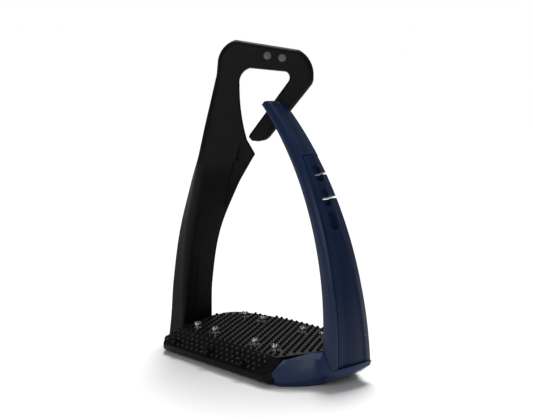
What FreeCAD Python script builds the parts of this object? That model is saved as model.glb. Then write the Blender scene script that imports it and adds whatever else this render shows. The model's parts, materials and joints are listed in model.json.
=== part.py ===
"""Safety stirrup iron: a rigid inner branch with an open eye, a grip tread, and a sprung outer arm.

Millimetres.  +Z is up, +X points from the inner branch to the outer arm (away from the horse), +Y is the
back of the tread.  The origin lies under the centre of the tread, on the surface the stirrup stands on.
"""

import FreeCAD, Part
import math
import os

import Sketcher

Vector = FreeCAD.Vector

# alias, value in millimetres (or degrees where the note says so), note
DIMENSIONS = [
    ("tread_top", 17.0, "height of the tread's upper face"),
    ("pad_thick", 3.0, "thickness of the tread pad"),
    ("pad_front", 30.0, "centre to the pad's straight front edge"),
    ("pad_front_half", 47.5, "half the pad's front edge"),
    ("pad_half", 60.0, "half the pad's greatest width"),
    ("pad_side", 17.0, "where the pad's sides end and its corners start"),
    ("pad_corner_half", 51.0, "half the pad's back edge between the corners"),
    ("pad_corner", 33.5, "centre to the ends of the pad's back edge"),
    ("pad_corner_radius", 14.0, "pad's back corner radius"),
    ("pad_back_radius", 161.0, "radius of the pad's bowed back edge"),
    ("base_front", 40.0, "centre to the base's front edge"),
    ("base_front_left", 50.0, "centre to the left end of the base's front edge"),
    ("base_front_right", 47.0, "centre to the right end of the base's front edge"),
    ("base_half", 60.0, "half the base's width"),
    ("base_nose", 27.0, "where the base's front corners meet its sides"),
    ("base_rim", 1.2, "how far the base stands out behind the pad"),
    ("slope_drop", 10.0, "height and depth of the 45 degree front grip"),
    ("left_drop", 11.3, "fall of the slope at the base's front left corner"),
    ("grip_thick", 2.0, "thickness of the front grip, square to its face"),
    ("grip_right", 44.0, "centre to the right end of the front grip"),
    ("bottom_chamfer", 3.0, "chamfer under the base's front edge"),
    ("cavity_half_x", 46.0, "half the width of the hollow under the deck"),
    ("cavity_half_y", 27.0, "half the depth of the hollow under the deck"),
    ("cavity_high", 8.0, "height of the hollow under the deck"),
    ("cover_half_x", 49.0, "half the underside cover's width"),
    ("cover_half_y", 30.0, "half the underside cover's depth"),
    ("cover_thick", 2.0, "thickness of the underside cover"),
    ("cover_gap", 0.2, "gap round the underside cover"),
    ("boss_x", 41.0, "cover screw bosses, from the centre"),
    ("boss_y", 22.5, "cover screw bosses, from the centre"),
    ("boss_radius", 4.0, "radius of the cover screw bosses"),
    ("small_screw_radius", 1.5, "radius of the cover and pad screws"),
    ("small_head_radius", 2.8, "head radius of the cover and pad screws"),
    ("pad_screw_x", 28.5, "pad screws, from the centre"),
    ("pad_screw_y", 10.0, "pad screws, from the centre"),
    ("stud_outer", 37.7, "outer tread studs, from the centre"),
    ("stud_inner", 19.5, "inner tread studs, from the centre"),
    ("stud_row", 21.6, "stud rows, from the centre"),
    ("stud_thread_radius", 1.5, "radius of a stud's threaded shank"),
    ("stud_flange_radius", 2.6, "radius of a stud's flange"),
    ("stud_flange_thick", 1.0, "thickness of a stud's flange"),
    ("stud_crown_high", 3.2, "height of a stud's crown"),
    ("stud_crown_wall", 0.8, "wall of a stud's crown"),
    ("insert_radius", 2.7, "radius of a stud's threaded insert"),
    ("grip_stud_radius", 2.6, "radius of the grip's studs"),
    ("grip_stud_high", 2.4, "height of the grip's studs"),
    ("grip_stud_left", 42.5, "left grip stud, from the centre"),
    ("grip_stud_middle", 8.0, "middle grip stud, from the centre"),
    ("grip_stud_right", 25.0, "right grip stud, from the centre"),
    ("arm_inner_radius", 201.4, "radius of the arm's inner edge"),
    ("arm_outer_radius", 217.7, "radius of the arm's outer edge"),
    ("arm_low_inner_x", 69.4, "inner corner of the arm's foot"),
    ("arm_low_inner_z", 3.6, "inner corner of the arm's foot"),
    ("arm_low_outer_x", 83.7, "outer corner of the arm's foot"),
    ("arm_low_outer_z", 11.5, "outer corner of the arm's foot"),
    ("arm_tip_x", 11.5, "inner corner of the arm's tip"),
    ("arm_tip_z", 168.7, "inner corner of the arm's tip"),
    ("arm_top", 171.0, "height of the arm's flat top"),
    ("arm_top_inner", 14.0, "inner end of the arm's flat top"),
    ("arm_top_outer", 15.5, "outer end of the arm's flat top"),
    ("arm_foot_half", 14.0, "half the arm's width at its foot"),
    ("arm_tip_half", 7.0, "half the arm's width at its tip"),
    ("rail_deep", 7.5, "depth of the arm's uncut front rail, from the front"),
    ("spring_thick", 2.4, "thickness of the spring core"),
    ("spring_wide", 2.8, "width of the spring core"),
    ("spring_cover", 1.0, "rubber in front of the spring core"),
    ("spring_foot_end", 38.0, "inner end of the spring core's foot"),
    ("spring_way_gap", 0.5, "room behind the spring core's foot"),
    ("clamp_screw_aside", 2.4, "clamp screws, beside the spring core"),
    ("clamp_head_radius", 2.2, "head radius of the clamp screws"),
    ("flex_low_x", 55.7, "lower flex line"),
    ("flex_low_z", 111.5, "lower flex line"),
    ("flex_low_lean", 20.6, "degrees, lower slit above the horizontal"),
    ("flex_high_x", 48.2, "upper flex line"),
    ("flex_high_z", 125.5, "upper flex line"),
    ("flex_high_lean", 25.0, "degrees, upper slit above the horizontal"),
    ("panel_top_x", 40.2, "upper end of the outer panels"),
    ("panel_top_z", 138.0, "upper end of the outer panels"),
    ("panel_top_lean", 34.5, "degrees, panel's upper end above the horizontal"),
    ("slit_half", 1.0, "half the width of a slit"),
    ("joint_half", 0.15, "half the clearance between two rail pieces"),
    ("flex_wedge", 12.0, "degrees that each flex line may close"),
    ("shoe_high", 15.0, "height of the outer shoe"),
    ("shoe_heel", 9.2, "height of the shoe's underside at its outer end"),
    ("shoe_nose_drop", 9.0, "fall of the shoe's top towards its front tip"),
    ("shoe_inner_x", 60.0, "where the shoe meets the base"),
    ("eye_turn", 46.3, "degrees, eye plane turned about the vertical"),
    ("eye_back", 3.0, "eye plane behind the tread's centre"),
    ("eye_thick", 10.0, "thickness of the eye"),
    ("rivet_radius", 2.8, "radius of the eye's rivets"),
    ("rivet_recess", 0.6, "how far the rivets lie below the eye's faces"),
    ("plate_thick", 3.0, "thickness of the steel plate in the eye's bar"),
    ("tongue_reach", 36.0, "inner end of the branch's tongue"),
    ("tongue_thick", 3.6, "thickness of the branch's tongue"),
    ("tongue_front", 13.0, "front side of the branch's tongue"),
    ("tongue_back", 5.0, "back side of the branch's tongue"),
    ("bolt_radius", 2.5, "radius of the branch bolts"),
    ("bolt_head_radius", 4.0, "head radius of the branch bolts"),
    ("bolt_x", 41.0, "branch bolts, from the centre"),
]

# The inner branch's cross-sections, from its foot to the eye: name, centre x, y, z, width, thickness, twist.
BRANCH_SECTIONS = [
    ("foot", -65.0, -5.0, 3.0, 25.6, 15.0, 0.0),
    ("ankle", -63.2, -5.1, 44.0, 24.0, 14.5, -2.0),
    ("shin", -52.5, -7.2, 81.0, 25.0, 14.0, -10.0),
    ("knee", -31.8, -11.5, 115.0, 29.9, 13.0, -27.0),
    ("hip", -21.2, -13.5, 129.0, 34.2, 12.0, -38.0),
    ("neck", -17.6, -13.9, 137.0, 35.5, 10.0, -43.7),
]
SECTION_SIZES = ("x", "y", "z", "wide", "thick", "twist")


class Size:
    """A number together with the sheet expression that gives it."""

    def __init__(self, value, text):
        self.value = float(value)
        self.text = text

    def __add__(self, other):
        other = as_size(other)
        return Size(self.value + other.value, f"({self.text} + {other.text})")

    def __sub__(self, other):
        other = as_size(other)
        return Size(self.value - other.value, f"({self.text} - {other.text})")

    def __mul__(self, other):
        other = as_size(other)
        return Size(self.value * other.value, f"({self.text} * {other.text})")

    def __neg__(self):
        return Size(-self.value, f"(0 - {self.text})")


def as_size(number):
    if isinstance(number, Size):
        return number
    return Size(number, f"({number})")


doc = FreeCAD.newDocument("stirrup_iron")


def make_sheet():
    """Fill the spreadsheet and return a Size for every alias in it."""
    sheet = doc.addObject("Spreadsheet::Sheet", "sizes")
    rows = list(DIMENSIONS)
    for name, *values in BRANCH_SECTIONS:
        for kind, value in zip(SECTION_SIZES, values):
            rows.append((f"{name}_{kind}", value, f"inner branch section {name}, {kind}"))
    for line, (alias, value, note) in enumerate(rows, start=1):
        sheet.set(f"A{line}", note)
        sheet.set(f"B{line}", str(value))
        sheet.setAlias(f"B{line}", alias)
    doc.recompute()
    return {alias: Size(sheet.get(alias), f"sizes.{alias}") for alias, _, _ in rows}


D = make_sheet()


def bind(thing, path, size, unit=""):
    """Bind one property of a document object to a sheet expression."""
    thing.setExpression(path, f"{as_size(size).text}{unit}")


def arc_between(start, end, radius):
    """The shorter arc from start to end; a positive radius turns left, a negative one right."""
    size = abs(radius)
    middle = (start + end) * 0.5
    chord = end - start
    rise = math.sqrt(size**2 - (chord.Length / 2) ** 2)
    side = Vector(-chord.y, chord.x, 0).normalize() * math.copysign(rise, radius)
    centre = middle + side
    first, last = (start, end) if radius > 0 else (end, start)
    angles = [math.atan2(p.y - centre.y, p.x - centre.x) for p in (first, last)]
    if angles[1] < angles[0]:
        angles[1] += 2 * math.pi
    return Part.ArcOfCircle(Part.Circle(centre, Vector(0, 0, 1), size), *angles)


def draw_outline(sketch, outline):
    """Draw a closed outline.

    Each entry is (x, y) for a straight run to the next entry, or (x, y, radius) for an arc to it.
    """
    points = [Vector(as_size(entry[0]).value, as_size(entry[1]).value, 0) for entry in outline]
    count = len(points)
    ends = []
    for index, entry in enumerate(outline):
        start = points[index]
        end = points[(index + 1) % count]
        if len(entry) == 3:
            radius = as_size(entry[2])
            edge = sketch.addGeometry(arc_between(start, end, radius.value), False)
            ends.append((edge, 1, 2) if radius.value > 0 else (edge, 2, 1))
        else:
            edge = sketch.addGeometry(Part.LineSegment(start, end), False)
            ends.append((edge, 1, 2))
    for index, (edge, _, last) in enumerate(ends):
        following, first, _ = ends[(index + 1) % count]
        sketch.addConstraint(Sketcher.Constraint("Coincident", edge, last, following, first))
    for (edge, first, _), entry in zip(ends, outline):
        for kind, coordinate in (("DistanceX", entry[0]), ("DistanceY", entry[1])):
            hold(sketch, coordinate, kind, edge, first)
        if len(entry) == 3:
            radius = as_size(entry[2])
            hold(sketch, radius if radius.value > 0 else -radius, "Radius", edge)


def hold(sketch, size, kind, *where):
    """Add one dimension to a sketch and bind it to the sheet where it comes from there."""
    size = as_size(size)
    number = sketch.addConstraint(Sketcher.Constraint(kind, *where, size.value))
    if "sizes." in size.text:
        bind(sketch, f"Constraints[{number}]", size)


def draw_circles(sketch, circles):
    """Draw circles given as (x, y, radius)."""
    for x, y, radius in circles:
        place = Vector(as_size(x).value, as_size(y).value, 0)
        edge = sketch.addGeometry(Part.Circle(place, Vector(0, 0, 1), as_size(radius).value), False)
        hold(sketch, x, "DistanceX", edge, 3)
        hold(sketch, y, "DistanceY", edge, 3)
        hold(sketch, radius, "Radius", edge)


def add_sketch(body, role, name, offset=0.0):
    """A sketch on one of the body's own origin planes, moved along the plane's normal by offset."""
    plane = next(item for item in body.Origin.OriginFeatures if item.Role == role)
    sketch = body.newObject("Sketcher::SketchObject", f"{body.Name}_{name}")
    sketch.AttachmentSupport = [(plane, "")]
    sketch.MapMode = "FlatFace"
    bind(sketch, "AttachmentOffset.Base.z", offset)
    return sketch


def add_pad(body, sketch, length, symmetric=False):
    feature = body.newObject("PartDesign::Pad", f"{sketch.Name}_pad")
    feature.Profile = sketch
    feature.SideType = "Symmetric" if symmetric else "One side"
    bind(feature, "Length", length)
    doc.recompute()
    return feature


def add_pocket(body, sketch, length, upward=True):
    """Cut the sketch out of the body, upward or downward, and make sure that it cuts something."""
    before = body.Shape.Volume
    feature = body.newObject("PartDesign::Pocket", f"{sketch.Name}_pocket")
    feature.Profile = sketch
    feature.Reversed = upward
    bind(feature, "Length", length)
    doc.recompute()
    if body.Shape.Volume > before - 0.01:
        raise RuntimeError(f"{feature.Name} cuts nothing")
    return feature


def prism(name, role, outline, low, high):
    """A body whose outline on an origin plane is padded from low to high along that plane's axis."""
    body = doc.addObject("PartDesign::Body", name)
    low = as_size(low)
    high = as_size(high)
    offset = -high if role == "XZ_Plane" else low
    sketch = add_sketch(body, role, "outline", offset)
    draw_outline(sketch, outline)
    add_pad(body, sketch, high - low)
    return body


def discs(name, circles, low, high):
    """One body holding a group of upright cylinders, given as (x, y, radius)."""
    shapes = []
    low = as_size(low)
    high = as_size(high)
    for number, (x, y, radius) in enumerate(circles):
        shape = doc.addObject("Part::Cylinder", f"{name}_{number}")
        bind(shape, "Radius", radius)
        bind(shape, "Height", high - low)
        bind(shape, "Placement.Base.x", x)
        bind(shape, "Placement.Base.y", y)
        bind(shape, "Placement.Base.z", low)
        shapes.append(shape)
    return group(name, shapes)


def group(name, shapes):
    """Several solids kept side by side under one name."""
    compound = doc.addObject("Part::Compound", name)
    compound.Links = shapes
    doc.recompute()
    return compound


def box(name, low, high):
    shape = doc.addObject("Part::Box", name)
    for side, axis, start, end in zip(("Length", "Width", "Height"), "xyz", low, high):
        bind(shape, side, as_size(end) - start)
        bind(shape, f"Placement.Base.{axis}", start)
    doc.recompute()
    return shape


def cut(name, base, tool):
    result = doc.addObject("Part::Cut", name)
    result.Base = base
    result.Tool = tool
    doc.recompute()
    return result


def common(name, *shapes):
    result = doc.addObject("Part::MultiCommon", name)
    result.Shapes = list(shapes)
    doc.recompute()
    return result


def fuse(name, *shapes):
    result = doc.addObject("Part::MultiFuse", name)
    result.Shapes = list(shapes)
    doc.recompute()
    return result


def corners(x, y):
    """The four corners of a rectangle about the centre."""
    return [(x, y), (-x, y), (-x, -y), (x, -y)]


def circles(places, radius):
    return [(x, y, radius) for x, y in places]


# ---------------------------------------------------------------- heights that several pieces share

deck_top = D["tread_top"] - D["pad_thick"]
deck_low = D["cavity_high"]
cover_top = D["cover_thick"]
tongue_low = deck_low - D["tongue_thick"]


# ---------------------------------------------------------------- the tread


def tread_outline(grow):
    """The pad's plan outline, wider behind and at the sides by grow."""
    side = D["pad_half"] + grow
    corner = D["pad_corner_half"] + grow
    back = D["pad_corner"] + grow
    turn = D["pad_corner_radius"]
    front = D["pad_front"]
    front_half = D["pad_front_half"]
    return [
        (-front_half, -front),
        (front_half, -front),
        (side, D["pad_side"] - 7),
        (side, D["pad_side"], turn),
        (corner, back, D["pad_back_radius"]),
        (-corner, back, turn),
        (-side, D["pad_side"]),
        (-side, D["pad_side"] - 7),
    ]


def stud_places():
    return corners(D["stud_outer"], D["stud_row"]) + corners(D["stud_inner"], D["stud_row"])


def pad_screw_places():
    return corners(D["pad_screw_x"], D["pad_screw_y"])


def cover_screw_places():
    return corners(D["boss_x"], D["boss_y"])


def make_tread_pad():
    body = prism("tread_pad", "XY_Plane", tread_outline(0.0), deck_top, D["tread_top"])
    holes = add_sketch(body, "XY_Plane", "stud_holes", deck_top)
    draw_circles(holes, circles(stud_places(), D["stud_thread_radius"]))
    add_pocket(body, holes, D["pad_thick"])
    screw_holes = add_sketch(body, "XY_Plane", "screw_holes", deck_top)
    draw_circles(screw_holes, circles(pad_screw_places(), D["small_screw_radius"]))
    add_pocket(body, screw_holes, D["pad_thick"] - 1)
    return body


def make_base():
    """The moulded base: a deck on a hollow box, with the slope for the front grip."""
    rim = D["base_rim"]
    half = D["base_half"]
    corner = D["pad_corner_half"]
    back = D["pad_corner"] + rim
    outline = [
        (-D["base_front_left"], -D["base_front"]),
        (D["base_front_right"], -D["base_front"]),
        (half, -D["base_nose"]),
        (half, D["pad_side"], D["pad_corner_radius"] + 2),
        (corner, back, D["pad_back_radius"]),
        (-corner, back, D["pad_corner_radius"] + 2),
        (-half, D["pad_side"]),
        (-half, -D["base_nose"] - 3),
    ]
    body = prism("base_body", "XY_Plane", outline, 0.0, deck_top)

    slope = add_sketch(body, "YZ_Plane", "slope", -half)
    lay = D["grip_thick"] * math.sqrt(2)
    foot = D["tread_top"] - D["slope_drop"] - lay
    draw_outline(
        slope,
        [
            (-D["pad_front"], deck_top),
            (-D["pad_front"], D["tread_top"] - lay),
            (-D["base_front"], foot),
            (-D["base_front"] - 2, foot),
            (-D["base_front"] - 2, deck_top),
        ],
    )
    add_pocket(body, slope, half * 2)

    toe = add_sketch(body, "YZ_Plane", "toe", -half)
    draw_outline(
        toe,
        [
            (-D["base_front"] - 1, -1.0),
            (-D["base_front"] + D["bottom_chamfer"], 0.0),
            (-D["base_front"], D["bottom_chamfer"]),
            (-D["base_front"] - 1, D["bottom_chamfer"]),
        ],
    )
    add_pocket(body, toe, half * 2)

    def recess(name, half_x, half_y, depth, low=0.0):
        sketch = add_sketch(body, "XY_Plane", name, low)
        draw_outline(sketch, [(-half_x, -half_y), (half_x, -half_y), (half_x, half_y), (-half_x, half_y)])
        add_pocket(body, sketch, depth)

    recess("ledge", D["cover_half_x"], D["cover_half_y"], cover_top)
    recess("cavity", D["cavity_half_x"], D["cavity_half_y"], deck_low)

    bosses = add_sketch(body, "XY_Plane", "bosses", cover_top)
    draw_circles(bosses, circles(cover_screw_places(), D["boss_radius"]))
    add_pad(body, bosses, deck_low - cover_top)

    boss_holes = add_sketch(body, "XY_Plane", "boss_holes", cover_top)
    draw_circles(boss_holes, circles(cover_screw_places(), D["small_screw_radius"]))
    add_pocket(body, boss_holes, deck_low - cover_top)

    insert_holes = add_sketch(body, "XY_Plane", "insert_holes", deck_low)
    draw_circles(insert_holes, circles(stud_places(), D["insert_radius"]))
    add_pocket(body, insert_holes, deck_top - deck_low)

    screw_holes = add_sketch(body, "XY_Plane", "screw_holes", deck_low)
    draw_circles(screw_holes, circles(pad_screw_places(), D["small_screw_radius"]))
    add_pocket(body, screw_holes, deck_top - deck_low)

    bolt_holes = add_sketch(body, "XY_Plane", "bolt_holes", deck_low)
    draw_circles(bolt_holes, circles(bolt_places(), D["bolt_radius"]))
    add_pocket(body, bolt_holes, deck_top - deck_low - 1)

    clamp_holes = add_sketch(body, "XY_Plane", "clamp_holes", deck_low)
    draw_circles(clamp_holes, circles(clamp_places(), D["small_screw_radius"]))
    add_pocket(body, clamp_holes, deck_top - deck_low - 2)

    tongue_way = add_sketch(body, "XY_Plane", "tongue_way", cover_top)
    draw_outline(
        tongue_way,
        [
            (-half - 1, -D["tongue_front"]),
            (-D["cavity_half_x"] + 1, -D["tongue_front"]),
            (-D["cavity_half_x"] + 1, D["tongue_back"]),
            (-half - 1, D["tongue_back"]),
        ],
    )
    add_pocket(body, tongue_way, deck_low - cover_top)

    spring_way = add_sketch(body, "XY_Plane", "spring_way", spring_foot_low)
    draw_outline(
        spring_way,
        [
            (D["cavity_half_x"] - 1, spring_front),
            (half + 1, spring_front),
            (half + 1, spring_back + D["spring_way_gap"]),
            (D["cavity_half_x"] - 1, spring_back + D["spring_way_gap"]),
        ],
    )
    add_pocket(body, spring_way, D["spring_thick"])
    return cut("base_platform", body, make_left_slope())


def make_left_slope():
    """What is taken off the base and the grip at their front left corner: a slope down to the left."""
    start = -D["pad_front_half"]
    end = -D["base_half"] - 1
    top = D["tread_top"]
    outline = [(start, top), (end, top - D["left_drop"]), (end, top + 1), (start, top + 1)]
    return prism("left_slope", "XZ_Plane", outline, -D["base_front"] - 1, -D["tongue_front"] - 6)


def bolt_places():
    return [(-D["bolt_x"], -D["tongue_front"] + 5), (-D["bolt_x"], D["tongue_back"] - 5)]


def make_cover():
    gap = D["cover_gap"]
    half_x = D["cover_half_x"] - gap
    half_y = D["cover_half_y"] - gap
    outline = [(-half_x, -half_y), (half_x, -half_y), (half_x, half_y), (-half_x, half_y)]
    body = prism("underside_cover", "XY_Plane", outline, 0.0, cover_top)
    holes = add_sketch(body, "XY_Plane", "screw_holes")
    draw_circles(holes, circles(cover_screw_places(), D["small_screw_radius"]))
    add_pocket(body, holes, cover_top)
    heads = add_sketch(body, "XY_Plane", "head_recesses")
    draw_circles(heads, circles(cover_screw_places(), D["small_head_radius"]))
    add_pocket(body, heads, cover_top * 0.5)
    return body


def make_screws(name, places, radius, head_radius, head_low, head_high, end):
    """Headed screws that point up, side by side in one node."""
    screws = []
    for number, (x, y) in enumerate(places):
        head = discs(f"{name}_head_{number}", [(x, y, head_radius)], head_low, head_high)
        shank = discs(f"{name}_shank_{number}", [(x, y, radius)], head_high, end)
        screws.append(fuse(f"{name}_{number}", head, shank))
    return group(name, screws)


def make_inserts():
    outer = discs("insert_blank", circles(stud_places(), D["insert_radius"]), deck_low, deck_top)
    bore = discs("insert_bore", circles(stud_places(), D["stud_thread_radius"]), deck_low, deck_top)
    return cut("stud_inserts", outer, bore)


def crown_stud(name, x, y, low):
    """A screw-in stud: shank, flange and a crown ring with a hollow middle."""
    flange_top = D["tread_top"] + D["stud_flange_thick"]
    crown_top = flange_top + D["stud_crown_high"]
    shank = discs(f"{name}_shank", [(x, y, D["stud_thread_radius"])], low, D["tread_top"])
    flange = discs(f"{name}_flange", [(x, y, D["stud_flange_radius"])], D["tread_top"], flange_top)
    crown = discs(f"{name}_crown", [(x, y, D["stud_flange_radius"] - 0.3)], flange_top, crown_top)
    hollow = discs(
        f"{name}_hollow",
        [(x, y, D["stud_flange_radius"] - 0.3 - D["stud_crown_wall"])],
        flange_top + 1,
        crown_top,
    )
    return fuse(name, shank, flange, cut(f"{name}_ring", crown, hollow))


def make_tread_studs():
    studs = []
    for number, (x, y) in enumerate(stud_places()):
        studs.append(crown_stud(f"stud_{number}", x, y, deck_low + 1))
    return group("tread_studs", studs)


def make_front_grip():
    lay = D["grip_thick"] * math.sqrt(2)
    slope_low = D["tread_top"] - D["slope_drop"]
    section = [
        (-D["pad_front"], D["tread_top"] - lay),
        (-D["pad_front"], D["tread_top"]),
        (-D["base_front"], slope_low),
        (-D["base_front"], slope_low - lay),
    ]
    slab = prism("grip_slab", "YZ_Plane", section, -D["base_half"], D["grip_right"])
    plan = [
        (-D["base_front_left"], -D["base_front"]),
        (D["grip_right"] - 4, -D["base_front"]),
        (D["grip_right"], -D["base_front"] + 5),
        (D["grip_right"], -D["pad_front"]),
        (-D["pad_front_half"] - 0.5, -D["pad_front"]),
        (-D["base_half"], -D["base_nose"] - 3),
    ]
    trim = prism("grip_plan", "XY_Plane", plan, 0.0, D["tread_top"] + 1)
    return cut("front_grip", common("grip_blank", slab, trim), doc.getObject("left_slope"))


def make_grip_studs():
    """Three low studs standing square to the slope, rather below its middle."""
    middle_y = -(D["pad_front"] + D["slope_drop"] * 0.6)
    middle_z = D["tread_top"] - D["slope_drop"] * 0.6
    studs = []
    for number, x in enumerate((-D["grip_stud_left"], -D["grip_stud_middle"], D["grip_stud_right"])):
        stud = doc.addObject("Part::Cone", f"grip_stud_{number}")
        bind(stud, "Radius1", D["grip_stud_radius"])
        bind(stud, "Radius2", D["grip_stud_radius"] * 0.7)
        bind(stud, "Height", D["grip_stud_high"])
        stud.Placement.Rotation = FreeCAD.Rotation(Vector(1, 0, 0), 45)
        bind(stud, "Placement.Base.x", x)
        bind(stud, "Placement.Base.y", middle_y)
        bind(stud, "Placement.Base.z", middle_z)
        studs.append(stud)
    return group("front_grip_studs", studs)


# ---------------------------------------------------------------- the outer arm

spring_front = -D["arm_foot_half"] + D["spring_cover"]
spring_back = spring_front + D["spring_wide"]
spring_foot_low = deck_low - D["spring_thick"]
spring_inset = 5.6
spring_bend = 6.0


def clamp_places():
    """The two clamp screws, in front of and behind the spring core's foot."""
    x = D["spring_foot_end"] + 4
    return [(x, spring_front - D["clamp_screw_aside"]), (x, spring_back + D["clamp_screw_aside"])]


def arm_outline():
    return [
        (D["arm_low_inner_x"], D["arm_low_inner_z"]),
        (D["arm_low_outer_x"], D["arm_low_outer_z"], D["arm_outer_radius"]),
        (D["arm_top_outer"], D["arm_top"]),
        (D["arm_top_inner"], D["arm_top"]),
        (D["arm_tip_x"], D["arm_tip_z"], -D["arm_inner_radius"]),
    ]


def spring_outline():
    """The core: a strip inside the arm that turns inward at the bottom and runs under the deck."""
    thick = D["spring_thick"]
    low = spring_foot_low
    inner_x = D["arm_low_inner_x"] + spring_inset
    turn = low + thick + spring_bend
    tip_x = D["arm_tip_x"] + 9.5
    tip_z = D["arm_tip_z"] - 8
    return [
        (D["spring_foot_end"], low),
        (inner_x - spring_bend, low, thick + spring_bend),
        (inner_x + thick, turn, (D["arm_inner_radius"] + D["arm_outer_radius"]) * 0.5),
        (tip_x + thick, tip_z),
        (tip_x, tip_z, -((D["arm_inner_radius"] + D["arm_outer_radius"]) * 0.5)),
        (inner_x, turn, -as_size(spring_bend)),
        (inner_x - spring_bend, low + thick),
        (D["spring_foot_end"], low + thick),
    ]


def side_band(name, front_inset, back_inset):
    """The slice of the arm between two insets from its tapering front face, seen from the side."""
    low = as_size(0.0)
    high = D["arm_top"] + 1
    foot = D["arm_foot_half"]
    tip = D["arm_tip_half"]
    outline = [
        (-foot + front_inset, low),
        (-foot + back_inset, low),
        (-tip + back_inset, high),
        (-tip + front_inset, high),
    ]
    return prism(name, "YZ_Plane", outline, 0.0, 100.0)


def region(name, line, outline):
    """A prism drawn about a flex line: local x runs along the slit, local y squarely above it."""
    body = doc.addObject("PartDesign::Body", name)
    sketch = add_sketch(body, "XZ_Plane", "outline")
    draw_outline(sketch, outline)
    add_pad(body, sketch, 60.0, symmetric=True)
    body.Placement.Rotation = FreeCAD.Rotation(Vector(0, -1, 0), D[f"{line}_lean"].value)
    bind(body, "Placement.Rotation.Angle", D[f"{line}_lean"], " * 1 deg")
    bind(body, "Placement.Base.x", D[f"{line}_x"])
    bind(body, "Placement.Base.z", D[f"{line}_z"])
    doc.recompute()
    return body


REACH = 150.0


def above(name, line, gap, wedge=0.0):
    """Everything above a flex line, with an optional wedge taken off its outer half."""
    rise = gap.value + REACH * math.tan(math.radians(wedge))
    outline = [(-REACH, gap), (0.0, gap), (REACH, rise), (REACH, REACH), (-REACH, REACH)]
    return region(name, line, outline)


def below(name, line, gap):
    outline = [(-REACH, -REACH), (REACH, -REACH), (REACH, -gap), (-REACH, -gap)]
    return region(name, line, outline)


def make_arm():
    """The arm's front rail, outer panels and spring core, each cut into three at the flex lines."""
    profile = prism("arm_profile", "XZ_Plane", arm_outline(), -20.0, 20.0)
    foot = D["arm_foot_half"]
    tip = D["arm_tip_half"]
    taper = [(-foot, 0.0), (foot, 0.0), (tip, D["arm_top"] + 1), (-tip, D["arm_top"] + 1)]
    arm = common("arm_blank", profile, prism("arm_taper", "YZ_Plane", taper, 0.0, 100.0))
    strip = prism("spring_profile", "XZ_Plane", spring_outline(), -20.0, 20.0)
    core = common(
        "spring_blank",
        strip,
        side_band("spring_side", D["spring_cover"], D["spring_cover"] + D["spring_wide"]),
    )
    rail = cut("rail_blank", common("rail_solid", arm, side_band("rail_side", -1.0, D["rail_deep"])), core)
    panel = common("panel_blank", arm, side_band("panel_side", D["rail_deep"], foot * 2 + 1))

    gap = D["joint_half"]
    slit = D["slit_half"]
    wedge = D["flex_wedge"].value
    rail_above_low = above("rail_above_low", "flex_low", gap, wedge)
    rail_above_high = above("rail_above_high", "flex_high", gap, wedge)
    rail_below_low = below("rail_below_low", "flex_low", gap)
    rail_below_high = below("rail_below_high", "flex_high", gap)
    slit_above_low = above("slit_above_low", "flex_low", slit)
    slit_above_high = above("slit_above_high", "flex_high", slit)
    slit_below_low = below("slit_below_low", "flex_low", slit)
    slit_below_high = below("slit_below_high", "flex_high", slit)
    over_panels = above("over_panels", "panel_top", as_size(0.0))
    under_panel_top = below("under_panel_top", "panel_top", as_size(0.0))

    head = common("head_blank", panel, over_panels)
    crown = fuse("crown_blank", common("rail_high_part", rail, rail_above_high), head)
    return [
        common("rail_lower", rail, rail_below_low),
        common("rail_middle", rail, rail_above_low, rail_below_high),
        as_node("rail_upper", crown),
        common("panel_lower", panel, slit_below_low),
        common("panel_middle", panel, slit_above_low, slit_below_high),
        common("panel_upper", panel, slit_above_high, under_panel_top),
        common("spring_lower", core, rail_below_low),
        common("spring_middle", core, rail_above_low, rail_below_high),
        common("spring_upper", core, rail_above_high),
    ]


def as_node(name, shape):
    """Give a finished shape the label that names its file."""
    shape.Label = name
    return shape


def make_shoe():
    """The moulded shoe round the arm's foot, closed under and in front of the base's outer end."""
    inner = D["shoe_inner_x"]
    front = D["base_front"]
    outline = [
        (inner, -D["base_nose"]),
        (D["base_front_right"] + 2.5, -front + 2.5),
        (inner - 7.5, -front + 4.7),
        (inner - 2.7, -front + 8.1),
        (inner + 7.8, -20.0),
        (inner + 16.5, -D["arm_foot_half"] - 0.6),
        (inner + 24.5, -D["arm_foot_half"] - 0.3),
        (inner + 24.8, D["arm_foot_half"]),
        (inner + 15, 23.0),
        (inner, 28.0),
    ]
    block = prism("shoe_block", "XY_Plane", outline, 0.0, D["shoe_high"])
    rise = [
        (inner + 6, -1.0),
        (inner + 6, 0.0),
        (inner + 25, D["shoe_heel"]),
        (inner + 30, D["shoe_heel"]),
        (inner + 30, -1.0),
    ]
    underside = prism("shoe_underside", "XZ_Plane", rise, -50.0, 50.0)
    shell = cut("shoe_shell", block, underside)
    nose = [
        (-22.0, D["shoe_high"]),
        (-front - 1, D["shoe_high"] - D["shoe_nose_drop"]),
        (-front - 1, D["shoe_high"] + 1),
        (-22.0, D["shoe_high"] + 1),
    ]
    lowered = cut("shoe_lowered", shell, prism("shoe_nose", "YZ_Plane", nose, 0.0, 100.0))
    socket = cut("shoe_socket", lowered, doc.getObject("arm_blank"))
    passage = cut("shoe_passage", socket, make_spring_way())
    trimmed = cut("shoe_trimmed", passage, doc.getObject("base_platform"))
    return cut("outer_shoe", trimmed, doc.getObject("tread_pad"))


def make_spring_way():
    """The room that the spring core's foot needs through the shoe."""
    back = spring_back + D["spring_way_gap"]
    top = spring_foot_low + D["spring_thick"] + 2
    return box(
        "spring_way",
        (D["shoe_inner_x"] - 1, spring_front, spring_foot_low),
        (D["arm_low_inner_x"] + 6, back, top),
    )


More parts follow.
